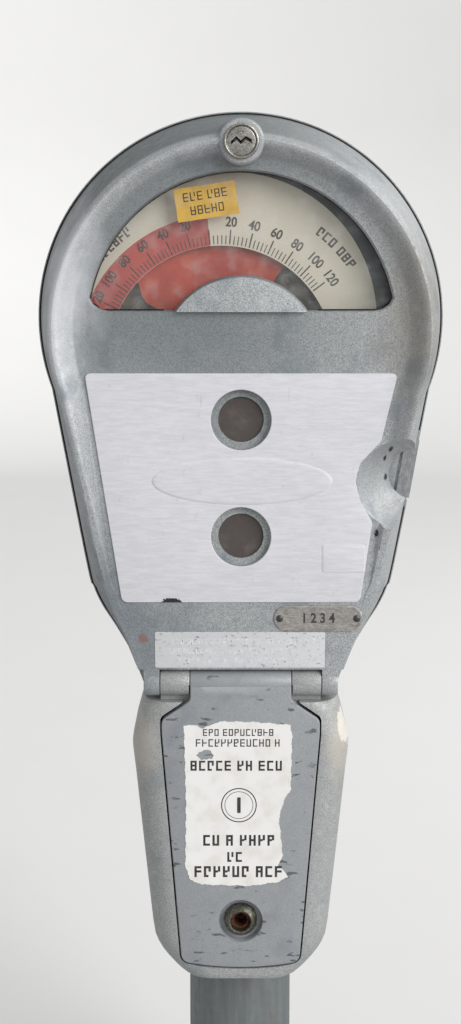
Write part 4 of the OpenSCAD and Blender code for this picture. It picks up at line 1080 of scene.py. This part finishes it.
def build_dial():
    """Cream face with an open middle on a dark disc whose uncovered crescent along the right is painted shadow of
    the window's wall; a red overtime band, ticks and numbers.
    """
    low = SILL_Z - 8

    def eye():
        return turned("eye", [(0, SCALE_R), (4, SCALE_R)], DIAL_X, SCALE_Z, DIAL_Y - 1, 128)
    disc = arc((0, WINDOW_Z), WINDOW_R + 2.3, -6, 186, 80)
    # painted shadow: a dark disc behind the cream face
    case = prism("dial_case", [(x, max(z, low)) for x, z in disc], DIAL_Y + 0.55, DIAL_Y + 0.95)
    finish(cut(case, eye()), "housing", "dial_cream", PAINTED_DIAL_SHADOW, "dial_plate")
    # the face sits left of the disc's middle, so the dark disc shows as a crescent of painted shadow along the
    # right
    face = [(x, max(z, low)) for x, z in arc((-5.5, WINDOW_Z + 3.4), 79.4, -12, 192, 80)]
    plate = prism("dial_face", face, DIAL_Y, DIAL_Y + 0.5)
    finish(cut(plate, eye()), "housing", "dial_cream", CREAM)
    band = prism("dial_overtime_band",
                 arc((DIAL_X, SCALE_Z), SCALE_R + 16.6, 95.3, 170, 48)
                 + arc((DIAL_X, SCALE_Z), SCALE_R + 0.1, 170, 95.3, 48), DIAL_Y - 0.06, DIAL_Y - 0.01)
    combine(band, [prism("disc", inset(face, 1), DIAL_Y - 2, DIAL_Y + 2)], "INTERSECT")
    finish(band, "housing", "flag_red", BAND_RED)
    points, faces, tick_y = [], [], DIAL_Y - 0.12
    for minutes in range(-120, 121, 4):
        length, half = (8.6, 0.34) if minutes % 20 == 0 else (5.4, 0.24)
        angle = math.radians(minute_angle(minutes))
        along = Vector((math.sin(angle), math.cos(angle)))
        aside = Vector((along.y, -along.x))
        tick = [along * (SCALE_R + r) + aside * side
                for r, side in ((0.8, -half), (length, -half), (length, half), (0.8, half))]
        add_plate(points, faces, [(DIAL_X + p.x, SCALE_Z + p.y) for p in tick], tick_y, tick_y + PRINT)
    finish(make("dial_ticks", points, faces), "housing", "dial_cream", DIAL_INK)
    for minutes in [m for m in range(-120, 121, 20) if m]:
        angle, r = minute_angle(minutes), SCALE_R + 12.6
        words("dial_number_%s%d" % ("over_" if minutes < 0 else "", abs(minutes)), str(abs(minutes)),
              7.2, DIAL_X + r * math.sin(math.radians(angle)), tick_y,
              SCALE_Z + r * math.cos(math.radians(angle)), angle, "housing", "dial_cream", DIAL_INK)
    print_y, degree = DIAL_Y - 0.08, math.degrees(1 / 86)
    strokes("dial_word_right", [(37, 57, -1.5, 5.2, 0.19)], print_y, round_dial(86.5), "housing",
            "dial_cream", DIAL_INK, degree)
    strokes("dial_word_left", [(-66, -33, -1.5, 5.0, 0.19)], print_y, round_dial(84.5), "housing",
            "dial_cream", DIAL_INK, degree)


build_dial()


def build_flag():
    y = corner("red_flag", 0, 1) + 1.5
    left, right, r = -42, 31, 68.4
    outer = arc((DIAL_X, DIAL_Z), r, 90 - left, 90 - right, 48)
    end = [(DIAL_X + 36 * math.sin(math.radians(a)), DIAL_Z + 36 * math.cos(math.radians(a)))
           for a in (28, 12, 0, -14, -26)]
    blob = [(-44, DIAL_Z + 33), (-53, DIAL_Z + 38)]
    flag = prism("red_flag_plate", rounded(outer + end + blob, [0] * len(outer) + [0] * 5 + [5, 8], 5),
                 y, y + 0.9)
    arm = prism("arm", [(DIAL_X - 6, DIAL_Z), (DIAL_X + 6, DIAL_Z), (DIAL_X + 4, DIAL_Z + 38),
                        (DIAL_X - 6, DIAL_Z + 38)], y, y + 0.9)
    hub = turned("hub", [(-1.5, 4.6), (-1.1, 5), (3, 5)], DIAL_X, DIAL_Z, y)
    add(flag, arm, hub)
    cut(flag, turned("bore", [(0, 2.08), (20, 2.08)], DIAL_X, DIAL_Z, y - 5))
    finish(flag, "flag", "flag_red", FLAG_RED, "red_flag")


build_flag()


def build_gasket():
    """The lens gasket's lower lip, a black strip along both stretches of the window's sill that is also painted
    shade for the gap under the window's lower edge.
    """
    for side in (-1, 1):
        x0, x1 = span(side, 41.5, 76)
        # black strip: the gasket lip, which also stands in as painted shade in the gap below the window's edge
        lip = block("gasket_lip_and_shade_" + "lr"[side > 0], (x0, FLOOR_Y + 1.6, SILL_Z - 0.2),
                    (x1, INNER_Y - 0.2, SILL_Z + 0.75))
        finish(lip, "cover", "seal_rubber", RUBBER)


build_gasket()


def build_hours_sticker():
    y = GLASS_Y + 0.05
    centre, tilt = Vector((-18.6, WINDOW_Z + 67)), math.radians(8.6)
    turn = Matrix.Rotation(tilt, 2)
    outline = [tuple(turn @ Vector(p) + centre) for p in ((-16.5, -8.8), (16.5, -8.8), (16.5, 8.8),
                                                          (-16.5, 8.8))]
    finish(prism("hours_label", ragged(outline, 0.15, 5), y, y + 0.2), "cover", "label_yellow", YELLOW,
           "hours_sticker")
    rows = [(-12, 13, 1.4, 4.6, 0.13), (-9, 12, -6, 4.6, 0.13)]
    strokes("hours_print", rows, y - 0.05, straight(tuple(centre), 8.6), "cover", "label_yellow",
            DIAL_INK)


build_hours_sticker()

# ---------------------------------------------------------------- stage, light and camera


def plain(name, colour):
    """Even, very slightly cloudy paint for the backdrop."""
    f = Finish(name, 0.9)
    f.bump((f.noise(3, 3.0), 0.05, 0.3), (f.noise(60, 2.0), 0.06, 2))
    return f.done(f.mix(f.noise(120, 3.0), colour, [c * 0.97 for c in colour[:3]] + [1.0]))


def build_stage():
    """A wide pale floor that curves up into a low round wall far behind the object."""
    steps, reach, bend = 96, 3000, 900
    profile = [(0.1, 0), (800, 0), (reach, 0)]
    profile += [(reach + bend * math.sin(math.radians(a)), bend * (1 - math.cos(math.radians(a))))
                for a in range(6, 91, 6)] + [(reach + bend, 4500)]
    points = [(r * math.cos(2 * math.pi * i / steps), r * math.sin(2 * math.pi * i / steps), z)
              for r, z in profile for i in range(steps)]
    faces = [(k * steps + i, k * steps + (i + 1) % steps, (k + 1) * steps + (i + 1) % steps,
              (k + 1) * steps + i) for k in range(len(profile) - 1) for i in range(steps)]
    sweep = make("backdrop", points, faces)
    sweep.data.flip_normals()
    sweep.visible_diffuse = sweep.visible_glossy = sweep.visible_shadow = False
    sweep.data.materials.append(plain("backdrop_white", srgb(249, 248, 247)))


build_stage()


def area_light(name, place, aim, size, power):
    light = bpy.data.lights.new(name, "AREA")
    light.shape = "RECTANGLE"
    light.size, light.size_y = size
    light.energy = power
    holder = placed(name, light)
    holder.location = place
    holder.rotation_euler = (Vector(aim) - Vector(place)).to_track_quat("-Z", "Y").to_euler()


area_light("rim", (1.6, 0.9, 1.5), (0, 0, 0.42), (1.2, 1.2), 12)
sun = placed("key", bpy.data.lights.new("key", "SUN"))
sun.data.energy = 2.1
sun.data.angle = math.radians(42)
sun.rotation_euler = Vector((0.8, -0.72, 0.45)).to_track_quat("Z", "Y").to_euler()

world = bpy.data.worlds.new("studio")
world.use_nodes = True
world.node_tree.nodes["Background"].inputs["Color"].default_value = (0.99, 0.995, 1.0, 1)
world.node_tree.nodes["Background"].inputs["Strength"].default_value = 0.46
bpy.context.scene.world = world

camera = placed("camera", bpy.data.cameras.new("camera"))
camera.data.sensor_width = 36
camera.data.lens = 58.6
camera.location = (-0.0057, -0.9539, 0.5408)
camera.rotation_euler = (math.radians(90 - 9), 0, 0)
bpy.context.scene.camera = camera
bpy.context.scene.view_settings.view_transform = "Standard"

bpy.context.view_layer.update()
